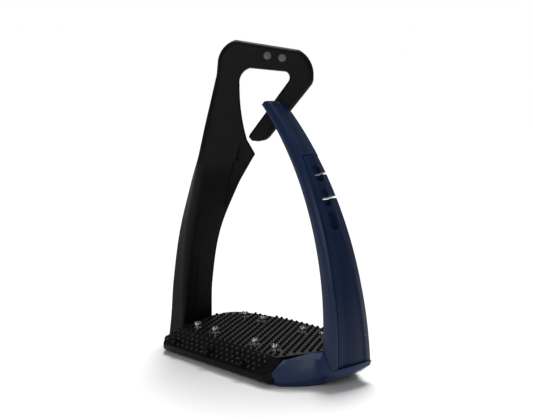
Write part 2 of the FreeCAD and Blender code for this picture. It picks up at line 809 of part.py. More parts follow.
def make_clamp():
    x = D["spring_foot_end"]
    low = spring_foot_low - D["spring_thick"]
    aside = D["clamp_screw_aside"] * 2
    plate = box("clamp_blank", (x, spring_front - aside, low), (x + 8, spring_back + aside, spring_foot_low))
    holes = discs("clamp_bores", circles(clamp_places(), D["small_screw_radius"]), low, spring_foot_low)
    return cut("spring_clamp", plate, holes)


# ---------------------------------------------------------------- the inner branch


def branch_section(name):
    """One cross-section of the branch: a rectangle across its run, turned by its twist."""
    sketch = doc.addObject("Sketcher::SketchObject", f"section_{name}")
    half_wide = D[f"{name}_wide"] * 0.5
    half_thick = D[f"{name}_thick"] * 0.5
    draw_outline(
        sketch,
        [
            (-half_thick, -half_wide),
            (half_thick, -half_wide),
            (half_thick, half_wide),
            (-half_thick, half_wide),
        ],
    )
    twist = D[f"{name}_twist"]
    sketch.Placement.Rotation = FreeCAD.Rotation(Vector(0, 0, 1), twist.value or 0.001)
    for axis in "xyz":
        bind(sketch, f"Placement.Base.{axis}", D[f"{name}_{axis}"])
    return sketch


def eye_outline():
    """The eye seen square on: post, leather bar, hook and the beak that guards the mouth."""
    return [
        (-41.0, 130.0),
        (-36.0, 152.0),
        (-31.3, 171.6),
        (-27.4, 188.0),
        (-26.6, 197.0, -16.0),
        (-14.9, 210.0),
        (25.8, 203.7, -18.0),
        (35.3, 187.0, -8.0),
        (33.0, 180.0),
        (11.7, 152.2, -14.0),
        (-2.6, 145.3),
        (-6.6, 147.0),
        (-5.9, 151.5),
        (18.9, 183.5, 4.2),
        (17.4, 189.9),
        (-5.9, 192.1, 8.5),
        (-12.9, 183.0, 75.0),
        (-7.9, 145.7),
        (-2.6, 136.5),
        (-6.6, 130.0),
    ]


def turned(body):
    """Turn a body drawn face-on into the eye's plane and move it back to that plane."""
    angle = math.radians(D["eye_turn"].value)
    body.Placement.Rotation = FreeCAD.Rotation(Vector(0, 0, 1), D["eye_turn"].value)
    bind(body, "Placement.Base.x", -D["eye_back"] * math.sin(angle))
    bind(body, "Placement.Base.y", D["eye_back"] * math.cos(angle))
    bind(body, "Placement.Rotation.Angle", D["eye_turn"], " * 1 deg")
    doc.recompute()
    return body


def across_eye(name, outline, thick):
    body = doc.addObject("PartDesign::Body", name)
    sketch = add_sketch(body, "XZ_Plane", "outline")
    draw_outline(sketch, outline)
    add_pad(body, sketch, thick, symmetric=True)
    return turned(body)


def rivet_pins(name, radius, length):
    """The two rivets through the eye's bar, as pins of the given length."""
    body = doc.addObject("PartDesign::Body", name)
    sketch = add_sketch(body, "XZ_Plane", "outline")
    draw_circles(sketch, [(5.3, 199.8, radius), (14.8, 198.4, radius)])
    pad = add_pad(body, sketch, length, symmetric=True)
    pad.AllowMultiFace = True
    body.AllowCompound = True
    doc.recompute()
    return turned(body)


def make_branch():
    loft = doc.addObject("Part::Loft", "branch_limb")
    loft.Sections = [branch_section(name) for name, *_ in BRANCH_SECTIONS]
    loft.Solid = True
    loft.Ruled = False
    eye = across_eye("eye_blank", eye_outline(), D["eye_thick"])
    tongue = box(
        "branch_tongue",
        (-D["base_half"] - 6, -D["tongue_front"], tongue_low),
        (-D["tongue_reach"], D["tongue_back"], deck_low),
    )
    clear = box("branch_clearance", (-D["base_half"], -60.0, 0.0), (0.0, 60.0, D["tread_top"]))
    limb = cut("branch_upright", fuse("branch_solid", loft, eye), clear)
    whole = fuse("branch_whole", limb, tongue)
    plate = across_eye("plate_room", plate_outline(), D["plate_thick"])
    pins = rivet_pins("rivet_room", D["rivet_radius"], D["eye_thick"] + 2)
    bolts = discs("bolt_room", circles(bolt_places(), D["bolt_radius"]), cover_top, deck_low)
    return cut("inner_branch", cut("branch_slotted", cut("branch_bored", whole, pins), plate), bolts)


def plate_outline():
    return [(-9.0, 198.5), (23.0, 193.6), (24.2, 200.6), (-7.8, 205.4)]


def make_eye_plate():
    blank = across_eye("eye_plate_blank", plate_outline(), D["plate_thick"])
    pins = rivet_pins("plate_bores", D["rivet_radius"], D["eye_thick"])
    return cut("eye_plate", blank, pins)


def make_rivets():
    length = D["eye_thick"] - D["rivet_recess"] * 2
    return as_node("eye_rivets", rivet_pins("rivets", D["rivet_radius"], length))


# ---------------------------------------------------------------- the assembly

nodes = [
    make_tread_pad(),
    make_base(),
    make_cover(),
    make_screws(
        "cover_screws",
        cover_screw_places(),
        D["small_screw_radius"],
        D["small_head_radius"],
        0.0,
        cover_top * 0.5,
        deck_low - 1,
    ),
    make_screws(
        "pad_screws",
        pad_screw_places(),
        D["small_screw_radius"],
        D["small_head_radius"],
        deck_low - 2,
        deck_low,
        deck_top + 1.5,
    ),
    make_inserts(),
    make_tread_studs(),
    make_front_grip(),
    make_grip_studs(),
]
nodes += make_arm()
nodes += [
    make_shoe(),
    make_clamp(),
    make_screws(
        "clamp_screws",
        clamp_places(),
        D["small_screw_radius"],
        D["clamp_head_radius"],
        cover_top + 0.3,
        spring_foot_low - D["spring_thick"],
        deck_low + 3,
    ),
    make_branch(),
    make_screws(
        "branch_bolts",
        bolt_places(),
        D["bolt_radius"],
        D["bolt_head_radius"],
        cover_top + 0.3,
        tongue_low,
        deck_low + 4,
    ),
    make_eye_plate(),
    make_rivets(),
]

doc.recompute()
for thing in doc.Objects:
    if "Invalid" in thing.State or "Error" in thing.State:
        raise RuntimeError(f"{thing.Name} did not build: {thing.State}")

os.makedirs("parts", exist_ok=True)
for node in nodes:
    shape = node.Shape
    if shape.isNull() or not shape.isValid():
        raise RuntimeError(f"{node.Label} has no valid shape")
    if not shape.Solids:
        raise RuntimeError(f"{node.Label} holds no solid")
    shape.exportStep(os.path.join("parts", f"{node.Label}.step"))
    print(f"{node.Label}: {len(shape.Solids)} solid(s), {shape.Volume:.0f} mm3")
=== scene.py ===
"""Safety stirrup iron: the visible pieces, built round the CAD frame.

Lengths are in millimetres, except in the materials, the floor, the lights and the camera: those are in
metres.
"""

import json
import math

import bmesh
import bpy
from mathutils import Matrix, Vector


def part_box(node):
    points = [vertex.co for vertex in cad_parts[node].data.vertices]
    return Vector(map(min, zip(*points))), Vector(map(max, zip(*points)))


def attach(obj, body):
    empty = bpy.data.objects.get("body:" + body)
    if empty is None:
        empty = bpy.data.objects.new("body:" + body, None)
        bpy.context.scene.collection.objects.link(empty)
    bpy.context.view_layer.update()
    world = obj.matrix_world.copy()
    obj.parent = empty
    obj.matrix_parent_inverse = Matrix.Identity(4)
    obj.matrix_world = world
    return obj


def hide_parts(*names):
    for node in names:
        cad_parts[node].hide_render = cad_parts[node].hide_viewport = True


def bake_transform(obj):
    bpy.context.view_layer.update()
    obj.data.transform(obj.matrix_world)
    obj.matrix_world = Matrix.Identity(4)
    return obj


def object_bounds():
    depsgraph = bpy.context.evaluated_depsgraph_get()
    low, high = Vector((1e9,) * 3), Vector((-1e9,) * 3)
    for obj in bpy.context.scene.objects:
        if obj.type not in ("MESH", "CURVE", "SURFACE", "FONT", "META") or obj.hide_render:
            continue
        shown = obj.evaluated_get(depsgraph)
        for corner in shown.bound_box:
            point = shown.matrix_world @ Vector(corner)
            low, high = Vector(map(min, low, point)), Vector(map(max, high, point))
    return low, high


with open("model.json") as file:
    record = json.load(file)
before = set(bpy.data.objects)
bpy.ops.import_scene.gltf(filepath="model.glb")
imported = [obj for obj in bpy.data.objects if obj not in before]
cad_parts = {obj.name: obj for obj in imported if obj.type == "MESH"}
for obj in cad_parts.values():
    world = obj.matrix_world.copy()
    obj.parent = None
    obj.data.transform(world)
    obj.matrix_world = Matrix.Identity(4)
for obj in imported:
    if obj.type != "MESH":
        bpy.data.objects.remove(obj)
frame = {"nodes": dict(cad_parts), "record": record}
cad_low, cad_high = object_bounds()

MM = 0.001


def box_mm(node):
    """The lowest and highest corner of a CAD node, in millimetres."""
    low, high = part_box(node)
    return low / MM, high / MM


PAD_LOW, PAD_HIGH = box_mm("tread_pad")
TREAD_TOP = PAD_HIGH.z
JOINTS = {joint["name"]: joint for joint in frame["record"]["behaviour"]["joints"]}

# ---------------------------------------------------------------- materials


class Nodes:
    """A small helper that adds shader nodes to one material and links them."""

    def __init__(self, name):
        self.material = bpy.data.materials.new(name)
        self.material.use_nodes = True
        self.tree = self.material.node_tree
        self.shader = self.tree.nodes["Principled BSDF"]
        self.place = self.add("ShaderNodeTexCoord").outputs["Object"]

    def add(self, kind, **settings):
        node = self.tree.nodes.new(kind)
        for key, value in settings.items():
            if key in node.inputs:
                node.inputs[key].default_value = value
            else:
                setattr(node, key, value)
        return node

    def link(self, source, target):
        self.tree.links.new(source, target)

    def noise(self, scale, detail=3.0, roughness=0.55, stretch=None):
        node = self.add("ShaderNodeTexNoise", Scale=scale, Detail=detail, Roughness=roughness)
        place = self.place
        if stretch:
            mapping = self.add("ShaderNodeMapping", Scale=stretch)
            self.link(place, mapping.inputs["Vector"])
            place = mapping.outputs["Vector"]
        self.link(place, node.inputs["Vector"])
        return node.outputs["Fac"]

    def ramp(self, source, stops):
        """A colour ramp whose stops are (position, colour) or (position, grey)."""
        node = self.add("ShaderNodeValToRGB")
        ramp = node.color_ramp
        while len(ramp.elements) < len(stops):
            ramp.elements.new(1.0)
        for element, (position, colour) in zip(ramp.elements, stops):
            element.position = position
            if isinstance(colour, float):
                colour = (colour, colour, colour)
            element.color = (*colour, 1.0)
        self.link(source, node.inputs["Fac"])
        return node.outputs["Color"]

    def bump(self, height, strength, distance, onto=None):
        node = self.add("ShaderNodeBump", Strength=strength, Distance=distance)
        self.link(height, node.inputs["Height"])
        if onto is not None:
            self.link(onto, node.inputs["Normal"])
        return node.outputs["Normal"]

    def worn_edges(self):
        """High on convex edges, low elsewhere."""
        return self.add("ShaderNodeNewGeometry").outputs["Pointiness"]

    def set(self, **values):
        for key, value in values.items():
            self.shader.inputs[key.replace("_", " ")].default_value = value


def tone(colour, factor):
    return tuple(channel * factor for channel in colour)


def moulded(name, colour, grain, roughness, specular, mottle=0.25, edge=1.6):
    """Moulded plastic or rubber: fine grain, slow colour variation, and slightly rubbed edges."""
    n = Nodes(name)
    clouds = n.noise(38.0, 4.0)
    base = n.ramp(clouds, [(0.3, tone(colour, 1.0 - mottle)), (0.7, tone(colour, 1.0 + mottle))])
    rubbed = n.ramp(n.worn_edges(), [(0.5, 0.0), (0.62, 1.0)])
    mix = n.add("ShaderNodeMix", data_type="RGBA", blend_type="MIX")
    n.link(rubbed, mix.inputs["Factor"])
    n.link(base, mix.inputs["A"])
    mix.inputs["B"].default_value = (*tone(colour, edge), 1.0)
    n.link(mix.outputs["Result"], n.shader.inputs["Base Color"])
    streaks = n.ramp(n.noise(160.0, 5.0, 0.7), [(0.25, roughness - 0.07), (0.75, roughness + 0.07)])
    n.link(streaks, n.shader.inputs["Roughness"])
    fine = n.noise(grain, 2.0, 0.6)
    broad = n.bump(clouds, 0.06, 0.0004)
    n.link(n.bump(fine, 0.22, 0.00006, broad), n.shader.inputs["Normal"])
    n.set(Specular_IOR_Level=specular)
    return n.material


def metal(name, colour, roughness, brushed):
    """Bare or plated steel: brushed one way, with faint handling marks."""
    n = Nodes(name)
    marks = n.noise(90.0, 5.0, 0.6)
    n.link(n.ramp(marks, [(0.2, tone(colour, 0.86)), (0.8, colour)]), n.shader.inputs["Base Color"])
    n.link(n.ramp(marks, [(0.3, roughness), (0.8, roughness + 0.14)]), n.shader.inputs["Roughness"])
    lines = n.noise(900.0, 3.0, 0.6, stretch=(1.0, 1.0, 0.04) if brushed else (1.0, 1.0, 1.0))
    n.link(n.bump(lines, 0.12, 0.00004), n.shader.inputs["Normal"])
    n.set(Metallic=1.0)
    return n.material


BLACK = (0.0025, 0.0025, 0.0027)
NAVY = (0.0062, 0.0158, 0.047)

MATERIALS = {
    "composite_black": moulded("composite_black", BLACK, 2600.0, 0.48, 0.1),
    "pad_rubber": moulded("pad_rubber", (0.0022, 0.0022, 0.0024), 2200.0, 0.42, 0.12),
    # a lighter, glossier copy of the pad's rubber for the tread's top: painted reflection of the lights
    "plate": moulded("plate", (0.015, 0.015, 0.016), 2200.0, 0.32, 0.45),
    # a darker, matte copy of the pad's rubber for the teeth: painted shade on them
    "teeth": moulded("teeth", (0.0015, 0.0015, 0.0015), 2200.0, 0.5, 0.06),
    # a lighter, glossier copy of the pad's rubber for the grip's domes: painted highlight on them
    "domes": moulded("domes", (0.005, 0.005, 0.0053), 2200.0, 0.3, 0.55),
    "arm_blue": moulded("arm_blue", NAVY, 2400.0, 0.3, 0.22, mottle=0.1, edge=1.3),
    # a darker copy of the arm's blue on the outer panels and the strip beside them: painted shade on faces
    # turned from the lights
    "navy_painted_shade": moulded("navy_painted_shade", tone(NAVY, 0.8), 2400.0, 0.36, 0.14, mottle=0.1, edge=1.3),
    # a lighter copy of the arm's blue on the shoe: painted light on its facets
    "navy_painted_light": moulded("navy_painted_light", tone(NAVY, 1.35), 2400.0, 0.34, 0.2, mottle=0.1, edge=1.3),
    "stud_chrome": metal("stud_chrome", (0.42, 0.42, 0.43), 0.14, False),
    "stud_black": metal("stud_black", (0.012, 0.012, 0.013), 0.38, False),
    "steel": metal("steel", (0.5, 0.5, 0.51), 0.28, True),
    "spring_steel": metal("spring_steel", (0.3, 0.3, 0.31), 0.3, True),
    "brass": metal("brass", (0.6, 0.42, 0.17), 0.25, False),
    "rivet_grey": moulded("rivet_grey", (0.085, 0.085, 0.085), 1800.0, 0.5, 0.2),
}

for row in frame["record"]["subparts"]:
    node = frame["nodes"][row["node"]]
    node.data.materials.clear()
    node.data.materials.append(MATERIALS[row["material_slot"]])

# ---------------------------------------------------------------- mesh building

# edges that turn by more than this are shaded sharp
SHARP = math.radians(32.0)
# points closer together than this are merged
MERGE_WITHIN = 0.002
# how far a cutter stands above the face that it is sunk in
CUTTER_CLEAR = 3.0


def add_piece(name, points, faces, slot, body=None, replaces=(), finish=None):
    """A mesh piece from points in millimetres, with its finish, its CAD body and what it stands for.

    The finish is the slot's own unless another is named.
    """
    mesh = bpy.data.meshes.new(name)
    mesh.from_pydata([Vector(point) * MM for point in points], [], faces)
    piece = bpy.data.objects.new(name, mesh)
    bpy.context.scene.collection.objects.link(piece)
    mesh.materials.append(MATERIALS[finish or slot])
    tidy(piece)
    if replaces:
        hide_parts(*replaces)
    if body:
        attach(piece, body)
    return piece


def tidy(piece):
    """Merge doubled points, turn the faces outward, and shade smooth except at real edges."""
    bm = bmesh.new()
    bm.from_mesh(piece.data)
    bmesh.ops.remove_doubles(bm, verts=bm.verts, dist=MERGE_WITHIN * MM)
    bmesh.ops.recalc_face_normals(bm, faces=bm.faces)
    for face in bm.faces:
        face.smooth = True
    for edge in bm.edges:
        edge.smooth = len(edge.link_faces) == 2 and edge.calc_face_angle(0.0) < SHARP
    bm.to_mesh(piece.data)
    bm.free()


def loft(rings, closed=False):
    """Points and faces of a tube through rings of equal length, capped unless it closes on itself."""
    size = len(rings[0])
    points = [point for ring in rings for point in ring]
    faces = []
    count = len(rings)
    for row in range(count if closed else count - 1):
        here = row * size
        there = (row + 1) % count * size
        for column in range(size):
            after = (column + 1) % size
            faces.append((here + column, here + after, there + after, there + column))
    if not closed:
        faces.append(tuple(range(size))[::-1])
        faces.append(tuple(range((count - 1) * size, count * size)))
    return points, faces


def modify(piece, kind, **settings):
    """Apply one modifier to a piece's mesh."""
    modifier = piece.modifiers.new(kind.lower(), kind)
    for key, value in settings.items():
        setattr(modifier, key, value)
    bpy.context.view_layer.update()
    shaped = piece.evaluated_get(bpy.context.evaluated_depsgraph_get())
    mesh = bpy.data.meshes.new_from_object(shaped)
    piece.modifiers.clear()
    piece.data = mesh


def combine(piece, points, faces, operation):
    """Cut a piece with a closed shape: DIFFERENCE takes the shape away, INTERSECT keeps what both hold."""
    mesh = bpy.data.meshes.new("cutter")
    mesh.from_pydata([Vector(point) * MM for point in points], [], faces)
    cutter = bpy.data.objects.new("cutter", mesh)
    bpy.context.scene.collection.objects.link(cutter)
    tidy(cutter)
    modify(piece, "BOOLEAN", operation=operation, object=cutter, solver="EXACT")
    tidy(piece)
    bpy.data.objects.remove(cutter)
    bpy.data.meshes.remove(mesh)


def carve(piece, points, faces):
    combine(piece, points, faces, "DIFFERENCE")


def keep_common(piece, points, faces):
    combine(piece, points, faces, "INTERSECT")


def soften(piece, width, segments=2, angle=30.0):
    """Round every real edge of a piece a little."""
    modify(
        piece,
        "BEVEL",
        width=width * MM,
        segments=segments,
        limit_method="ANGLE",
        angle_limit=math.radians(angle),
        use_clamp_overlap=True,
    )
    tidy(piece)


def merge(*shapes):
    """Several (points, faces) shapes as one."""
    points = []
    faces = []
    for more_points, more_faces in shapes:
        start = len(points)
        points += more_points
        faces += [tuple(start + index for index in face) for face in more_faces]
    return points, faces


def turned(centre, axis, rows, sides):
    """A turned solid: its rows are (distance along the axis, radius)."""
    first = axis.orthogonal().normalized()
    second = axis.cross(first)
    rings = []
    for reach, radius in rows:
        radius = max(radius, 0.01)
        ring = []
        for side in range(sides):
            turn = 2 * math.pi * side / sides
            out = first * math.cos(turn) + second * math.sin(turn)
            ring.append(centre + axis * reach + out * radius)
        rings.append(ring)
    return loft(rings)


def prism_xy(outline, low, high):
    """A closed upright prism over a plan outline."""
    return loft([[Vector((x, y, level)) for x, y in outline] for level in (low, high)])


def prism_yz(outline, low, high):
    """A closed prism along x over a (y, z) outline."""
    return loft([[Vector((level, y, z)) for y, z in outline] for level in (low, high)])


def prism_xz(outline, low, high):
    """A closed prism along y over an (x, z) outline."""
    return loft([[Vector((x, level, z)) for x, z in outline] for level in (low, high)])


def lerp(a, b, share):
    return a + (b - a) * share


def from_table(table, place):
    """A value read off a table of (place, value) rows, straight between them."""
    if place <= table[0][0]:
        return table[0][1]
    for (low, first), (high, second) in zip(table, table[1:]):
        if place <= high:
            return lerp(first, second, (place - low) / (high - low))
    return table[-1][1]


def arc(start, end, radius, steps):
    """Points along the shorter arc between two (x, y) points, without its end; + turns left."""
    start = Vector(start)
    end = Vector(end)
    chord = end - start
    rise = math.sqrt(radius**2 - (chord.length / 2) ** 2)
    side = Vector((-chord.y, chord.x)).normalized() * math.copysign(rise, radius)
    centre = (start + end) / 2 + side
    first = math.atan2(*(start - centre).yx)
    turn = math.copysign(2 * math.asin(chord.length / 2 / abs(radius)), radius)
    size = abs(radius)
    angles = [first + turn * step / steps for step in range(steps)]
    return [centre + Vector((math.cos(angle), math.sin(angle))) * size for angle in angles]


def run(start, end, steps):
    """Points along a straight line, without its end."""
    return [Vector(start).lerp(Vector(end), step / steps) for step in range(steps)]


# ---------------------------------------------------------------- the inner branch

EYE_TURN = math.radians(46.3)
EYE_BACK = 3.0
EYE_THICK = 10.0
ACROSS = Vector((math.cos(EYE_TURN), math.sin(EYE_TURN), 0.0))
OUTWARD = Vector((math.sin(EYE_TURN), -math.cos(EYE_TURN), 0.0))
UP = Vector((0.0, 0.0, 1.0))

# the beak, where the limb turns into the eye: its height, and its two edges across the eye's plane
BEAK_HEIGHT = 136.5
BEAK_OUTER = -39.4
BEAK_INNER = -2.6
# the next corner of the eye's outer edge above the beak
POST_HEIGHT = 152.0
POST_OUTER = -36.0
RIVETS = [(5.3, 199.8), (14.8, 198.4)]
RIVET_RADIUS = 2.8
RIVET_SIDES = 32
# how much wider than its rivet a seat is, and how deep
SEAT_GAP = 0.45
SEAT_DEPTH = 0.8
# how round the branch's front corner is, by height
FRONT_CORNER = [(3.0, 1.4), (20.0, 2.2), (63.0, 4.6), (90.0, 6.4), (115.0, 6.6), (BEAK_HEIGHT, 4.6)]
SMALL_CORNER = 0.8
# how round the eye's bar is: front outer, front inner, back inner and back outer corner
BEAK_CORNER = 4.4
EYE_CORNERS = (3.6, 1.7, 1.3, 1.3)
EYE_CORNER_RINGS = 12
LIMB_STEPS = 52


def eye_point(across, height, outward=0.0):
    """A point given in the eye's own plane."""
    return ACROSS * across + OUTWARD * (outward - EYE_BACK) + UP * height


NECK = eye_point((BEAK_OUTER + BEAK_INNER) / 2, BEAK_HEIGHT)
# centre x, y, z, width, thickness and twist in degrees, from the foot up to the eye
LIMB = [
    (-65.8, -5.6, 3.0, 27.4, 16.4, 0.0),
    (-64.9, -5.2, 20.0, 25.6, 15.4, -0.6),
    (-63.3, -5.0, 44.0, 24.6, 14.7, -2.0),
    (-52.5, -7.2, 81.0, 25.0, 14.0, -10.0),
    (-31.8, -11.5, 115.0, 29.9, 13.0, -27.0),
    (-21.2, -13.5, 129.0, 34.2, 12.0, -38.0),
    (*NECK, BEAK_INNER - BEAK_OUTER, EYE_THICK, -43.7),
]


def smooth_row(table, height):
    """A table's values at a height (its third column), on a smooth curve through its rows."""
    last = len(table) - 1
    index = max(row for row in range(last) if row == 0 or table[row][2] <= height)
    low = table[index]
    high = table[index + 1]
    before = table[max(index - 1, 0)]
    after = table[min(index + 2, last)]
    span = high[2] - low[2]
    share = (height - low[2]) / span
    values = []
    for a, b, c, d in zip(before, low, high, after):
        start = (c - a) / (high[2] - before[2]) * span
        end = (d - b) / (after[2] - low[2]) * span
        values.append(
            (2 * share**3 - 3 * share**2 + 1) * b
            + (share**3 - 2 * share**2 + share) * start
            + (3 * share**2 - 2 * share**3) * c
            + (share**3 - share**2) * end
        )
    return values


def limb_at(height):
    """The branch below the eye at a height: outer and inner mid-edges, the face's normal, thickness."""
    x, y, _, width, thick, twist = smooth_row(LIMB, height)
    angle = math.radians(twist)
    normal = Vector((math.cos(angle), math.sin(angle), 0.0))
    along = Vector((-math.sin(angle), math.cos(angle), 0.0))
    centre = Vector((x, y, height))
    return centre - along * width / 2, centre + along * width / 2, normal, thick


def eye_edges():
    """Matched points along the eye's outer and inner edges, from the beak round to the hook's tip."""
    outer = run((BEAK_OUTER, BEAK_HEIGHT), (POST_OUTER, POST_HEIGHT), 3)
    outer += run((POST_OUTER, POST_HEIGHT), (-31.3, 171.6), 4)
    outer += run((-31.3, 171.6), (-27.4, 188.0), 3)
    outer += run((-27.4, 188.0), (-26.6, 197.0), 2)
    outer += arc((-26.6, 197.0), (-14.9, 210.0), -16.0, 8)
    outer += run((-14.9, 210.0), (25.8, 203.7), 8)
    outer += arc((25.8, 203.7), (35.3, 187.0), -18.0, 8)
    outer += arc((35.3, 187.0), (33.0, 180.0), -8.0, 3)
    outer += run((33.0, 180.0), (7.8, 148.4), 9)
    outer += arc((7.8, 148.4), (2.4, 145.2), -8.0, 4)
    outer += [Vector((-0.2, 144.8)), Vector((-4.4, 145.3))]

    inner = run((BEAK_INNER, BEAK_HEIGHT), (-7.9, 145.7), 3)
    inner += arc((-7.9, 145.7), (-12.7, 181.5), -122.0, 9)
    inner += arc((-12.7, 181.5), (-5.9, 192.1), -9.5, 8)
    inner += run((-5.9, 192.1), (17.4, 189.9), 8)
    inner += arc((17.4, 189.9), (18.9, 183.5), -4.2, 11)
    inner += run((18.9, 183.5), (-1.4, 155.7), 9)
    inner += run((-1.4, 155.7), (-5.4, 150.3), 4)
    inner += [Vector((-5.9, 149.6)), Vector((-6.7, 147.8))]
    return outer, inner


def rounded_section(outer, inner, normal, thick, radii, steps=5):
    """A ring round a flat bar with rounded corners; outer and inner are the middles of its edges."""
    width = (inner - outer).length
    along = (inner - outer).normalized()
    ring = []
    corners = ((outer, 1, 180), (inner, 1, 90), (inner, -1, 0), (outer, -1, -90))
    for (edge, face, first), radius in zip(corners, radii):
        radius = min(radius, width * 0.45, thick * 0.45)
        centre = edge + along * (radius if edge is outer else -radius) + normal * face * (thick / 2 - radius)
        for step in range(steps + 1):
            angle = math.radians(first - 90 * step / steps)
            ring.append(centre + along * radius * math.cos(angle) + normal * radius * math.sin(angle))
    return ring


def limb_cutter(stations):
    """A closed cutter sunk into the branch's wide face.

    Each station is (height, start, end, depth at the start, depth at the end); start and end are measured
    across from the outer edge.
    """
    rings = []
    for height, start, end, near, far in stations:
        if height < BEAK_HEIGHT:
            outer, inner, normal, thick = limb_at(height)
            along = (inner - outer).normalized()
        else:
            share = (height - BEAK_HEIGHT) / (POST_HEIGHT - BEAK_HEIGHT)
            outer = eye_point(lerp(BEAK_OUTER, POST_OUTER, share), height)
            along, normal, thick = ACROSS, OUTWARD, EYE_THICK
        face = outer + normal * thick / 2
        corners = ((start, CUTTER_CLEAR), (start, -near), (end, -far), (end, CUTTER_CLEAR))
        rings.append([face + along * across + normal * out for across, out in corners])
    return loft(rings)


def make_branch():
    """The limb, the beak and the hooked eye in one, with a slot and two hollows in its wide face."""
    foot = LIMB[0][2]
    rings = []
    for step in range(LIMB_STEPS):
        height = lerp(foot, BEAK_HEIGHT, step / LIMB_STEPS)
        radii = (from_table(FRONT_CORNER, height), SMALL_CORNER, SMALL_CORNER, SMALL_CORNER)
        rings.append(rounded_section(*limb_at(height), radii))
    for rank, (outer, inner) in enumerate(zip(*eye_edges())):
        share = min(rank / EYE_CORNER_RINGS, 1.0)
        small = [lerp(SMALL_CORNER, radius, share) for radius in EYE_CORNERS[1:]]
        radii = (lerp(BEAK_CORNER, EYE_CORNERS[0], share), *small)
        rings.append(rounded_section(eye_point(*outer), eye_point(*inner), OUTWARD, EYE_THICK, radii))
    branch = add_piece("inner_branch_visual", *loft(rings), "composite_black")
    slot = [
        (8.0, 1.8, 10.8, 4.2, 0.6),
        (20.0, 1.8, 10.9, 4.2, 0.6),
        (43.0, 3.2, 10.9, 4.0, 0.6),
        (63.5, 3.9, 10.4, 3.8, 0.6),
    ]
    low_hollow = [
        (100.0, 22.9, 25.0, 0.02, 0.0),
        (107.0, 22.7, 27.0, 1.6, 0.0),
        (113.0, 22.7, 28.6, 2.3, 0.0),
        (122.5, 23.0, 29.8, 2.6, 0.0),
        (131.6, 23.5, 31.0, 2.4, 0.0),
    ]
    high_hollow = [
        (132.6, 24.8, 31.5, 2.2, 0.0),
        (139.5, 25.0, 30.5, 1.8, 0.0),
        (146.0, 26.2, 28.5, 0.05, 0.0),
    ]
    for stations in (slot, low_hollow, high_hollow):
        carve(branch, *limb_cutter(stations))
    for across, height in RIVETS:
        for side in (-1, 1):
            radius = RIVET_RADIUS + SEAT_GAP
            seat = [(EYE_THICK / 2 - SEAT_DEPTH, radius), (EYE_THICK, radius)]
            carve(branch, *turned(eye_point(across, height), OUTWARD * side, seat, RIVET_SIDES))
    soften(branch, 0.25, angle=40.0)
    modify(branch, "WEIGHTED_NORMAL", keep_sharp=True, weight=100)
    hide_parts("inner_branch")
    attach(branch, "frame")


def make_rivets():
    """Rivets through the eye's bar, with slightly domed ends just below its faces."""
    shapes = []
    end = EYE_THICK / 2 - 0.25
    profile = [(end, 0.0), (end - 0.12, 1.5), (end - 0.4, 2.4), (end - 0.8, RIVET_RADIUS)]
    for across, height in RIVETS:
        rows = profile + [(-reach, radius) for reach, radius in profile[::-1]]
        shapes.append(turned(eye_point(across, height), OUTWARD, rows, RIVET_SIDES))
    add_piece("eye_rivets_visual", *merge(*shapes), "rivet_grey", "frame", ["eye_rivets"])


# ---------------------------------------------------------------- the outer arm

# the arcs of the arm's inner and outer face in its side view: centre (x, z) and radius
ARM_INNER = (Vector((-130.8, 25.6)), 201.4)
ARM_OUTER = (Vector((-134.0, 12.7)), 217.7)
ARM_TOP = box_mm("rail_upper")[1].z
# half the arm's width along y at its foot and at its top
ARM_FOOT_HALF = 14.0
ARM_TIP_HALF = 7.0
# a point (x, z) and a lean in degrees for each line across the arm
FOOT_LINE = ((69.4, 3.6), 28.9)
PANEL_TOP_LINE = ((41.8, 135.9), 34.0)
TIP_LINE = ((11.5, 168.7), 42.0)
# the flex lines' leans; their points are the joints' own
LEANS = {"flex_low": 20.6, "flex_high": 25.0}
SLIT_HALF = 0.75
# where the rail's rings are split: this far below the lower flex line and above the upper one
BEND_REACH = 6.0

# how much fuller the arm is than its CAD solids: in front, and at the back by height
FRONT_FULL = 1.3
BACK_FULL = [(10.0, 2.8), (30.0, 2.1), (60.0, 1.4), (120.0, 1.1), (171.0, 1.0)]
# where the panels start: from the front edge of the CAD arm and of this one, and across the outer face
PANEL_START = 7.5
PANEL_ASIDE = PANEL_START + FRONT_FULL
PANEL_SHARE = 0.24
FACE_SUNK = 0.5
FACE_END = 6.4
CROWN_POINTS = 7
CROWN_SWELL = 0.7
GROOVE_DEPTH = 1.2
# the groove lies between these distances from the front edge
GROOVE_START = 2.5
GROOVE_END = 4.0
SEAM_DEPTH = 0.8
# the ranks of the head's profile points that the seam lowers: from the groove to the back bevel's end
SEAM_FIRST = 7
SEAM_LAST = 15 + CROWN_POINTS
# how far above the panels the seam's floor ends and the head starts, in degrees round the inner arc
SEAM_TOP = 0.12
HEAD_START = 0.2
# the column of a rail's faces that lies between the groove and the panels
STRIP_COLUMN = 9
# how far the groove moves back from the front corner, by height
GROOVE_SHIFT = [(20.0, 0.3), (85.0, 0.3), (110.0, 0.7), (137.0, 1.9)]
# how far the outer face stands back along its front edge, by height
FRONT_INSET = [(10.0, 3.0), (60.0, 2.9), (85.0, 1.9), (110.0, 1.4), (130.0, 0.4), (142.0, 0.0)]

POCKET_HALF_WIDE = 2.8
POCKET_HALF_LONG = 5.8
POCKET_DEPTH = 1.3
POCKET_STEPS = 8
# how much of the front inset is left at the pockets
POCKET_INSET = 0.6
# the third pocket lies this far below the lower flex line
POCKET_DROP = 15.0


def flex_line(name, offset=0.0):
    """A flex line in the arm's side view, moved squarely upward by offset: a point and its lean."""
    x, _, z = (value / MM for value in JOINTS[name]["pos_m"])
    lean = math.radians(LEANS[name])
    return (x - math.sin(lean) * offset, z + math.cos(lean) * offset), LEANS[name]


def direction(degrees):
    return Vector((math.cos(math.radians(degrees)), math.sin(math.radians(degrees))))


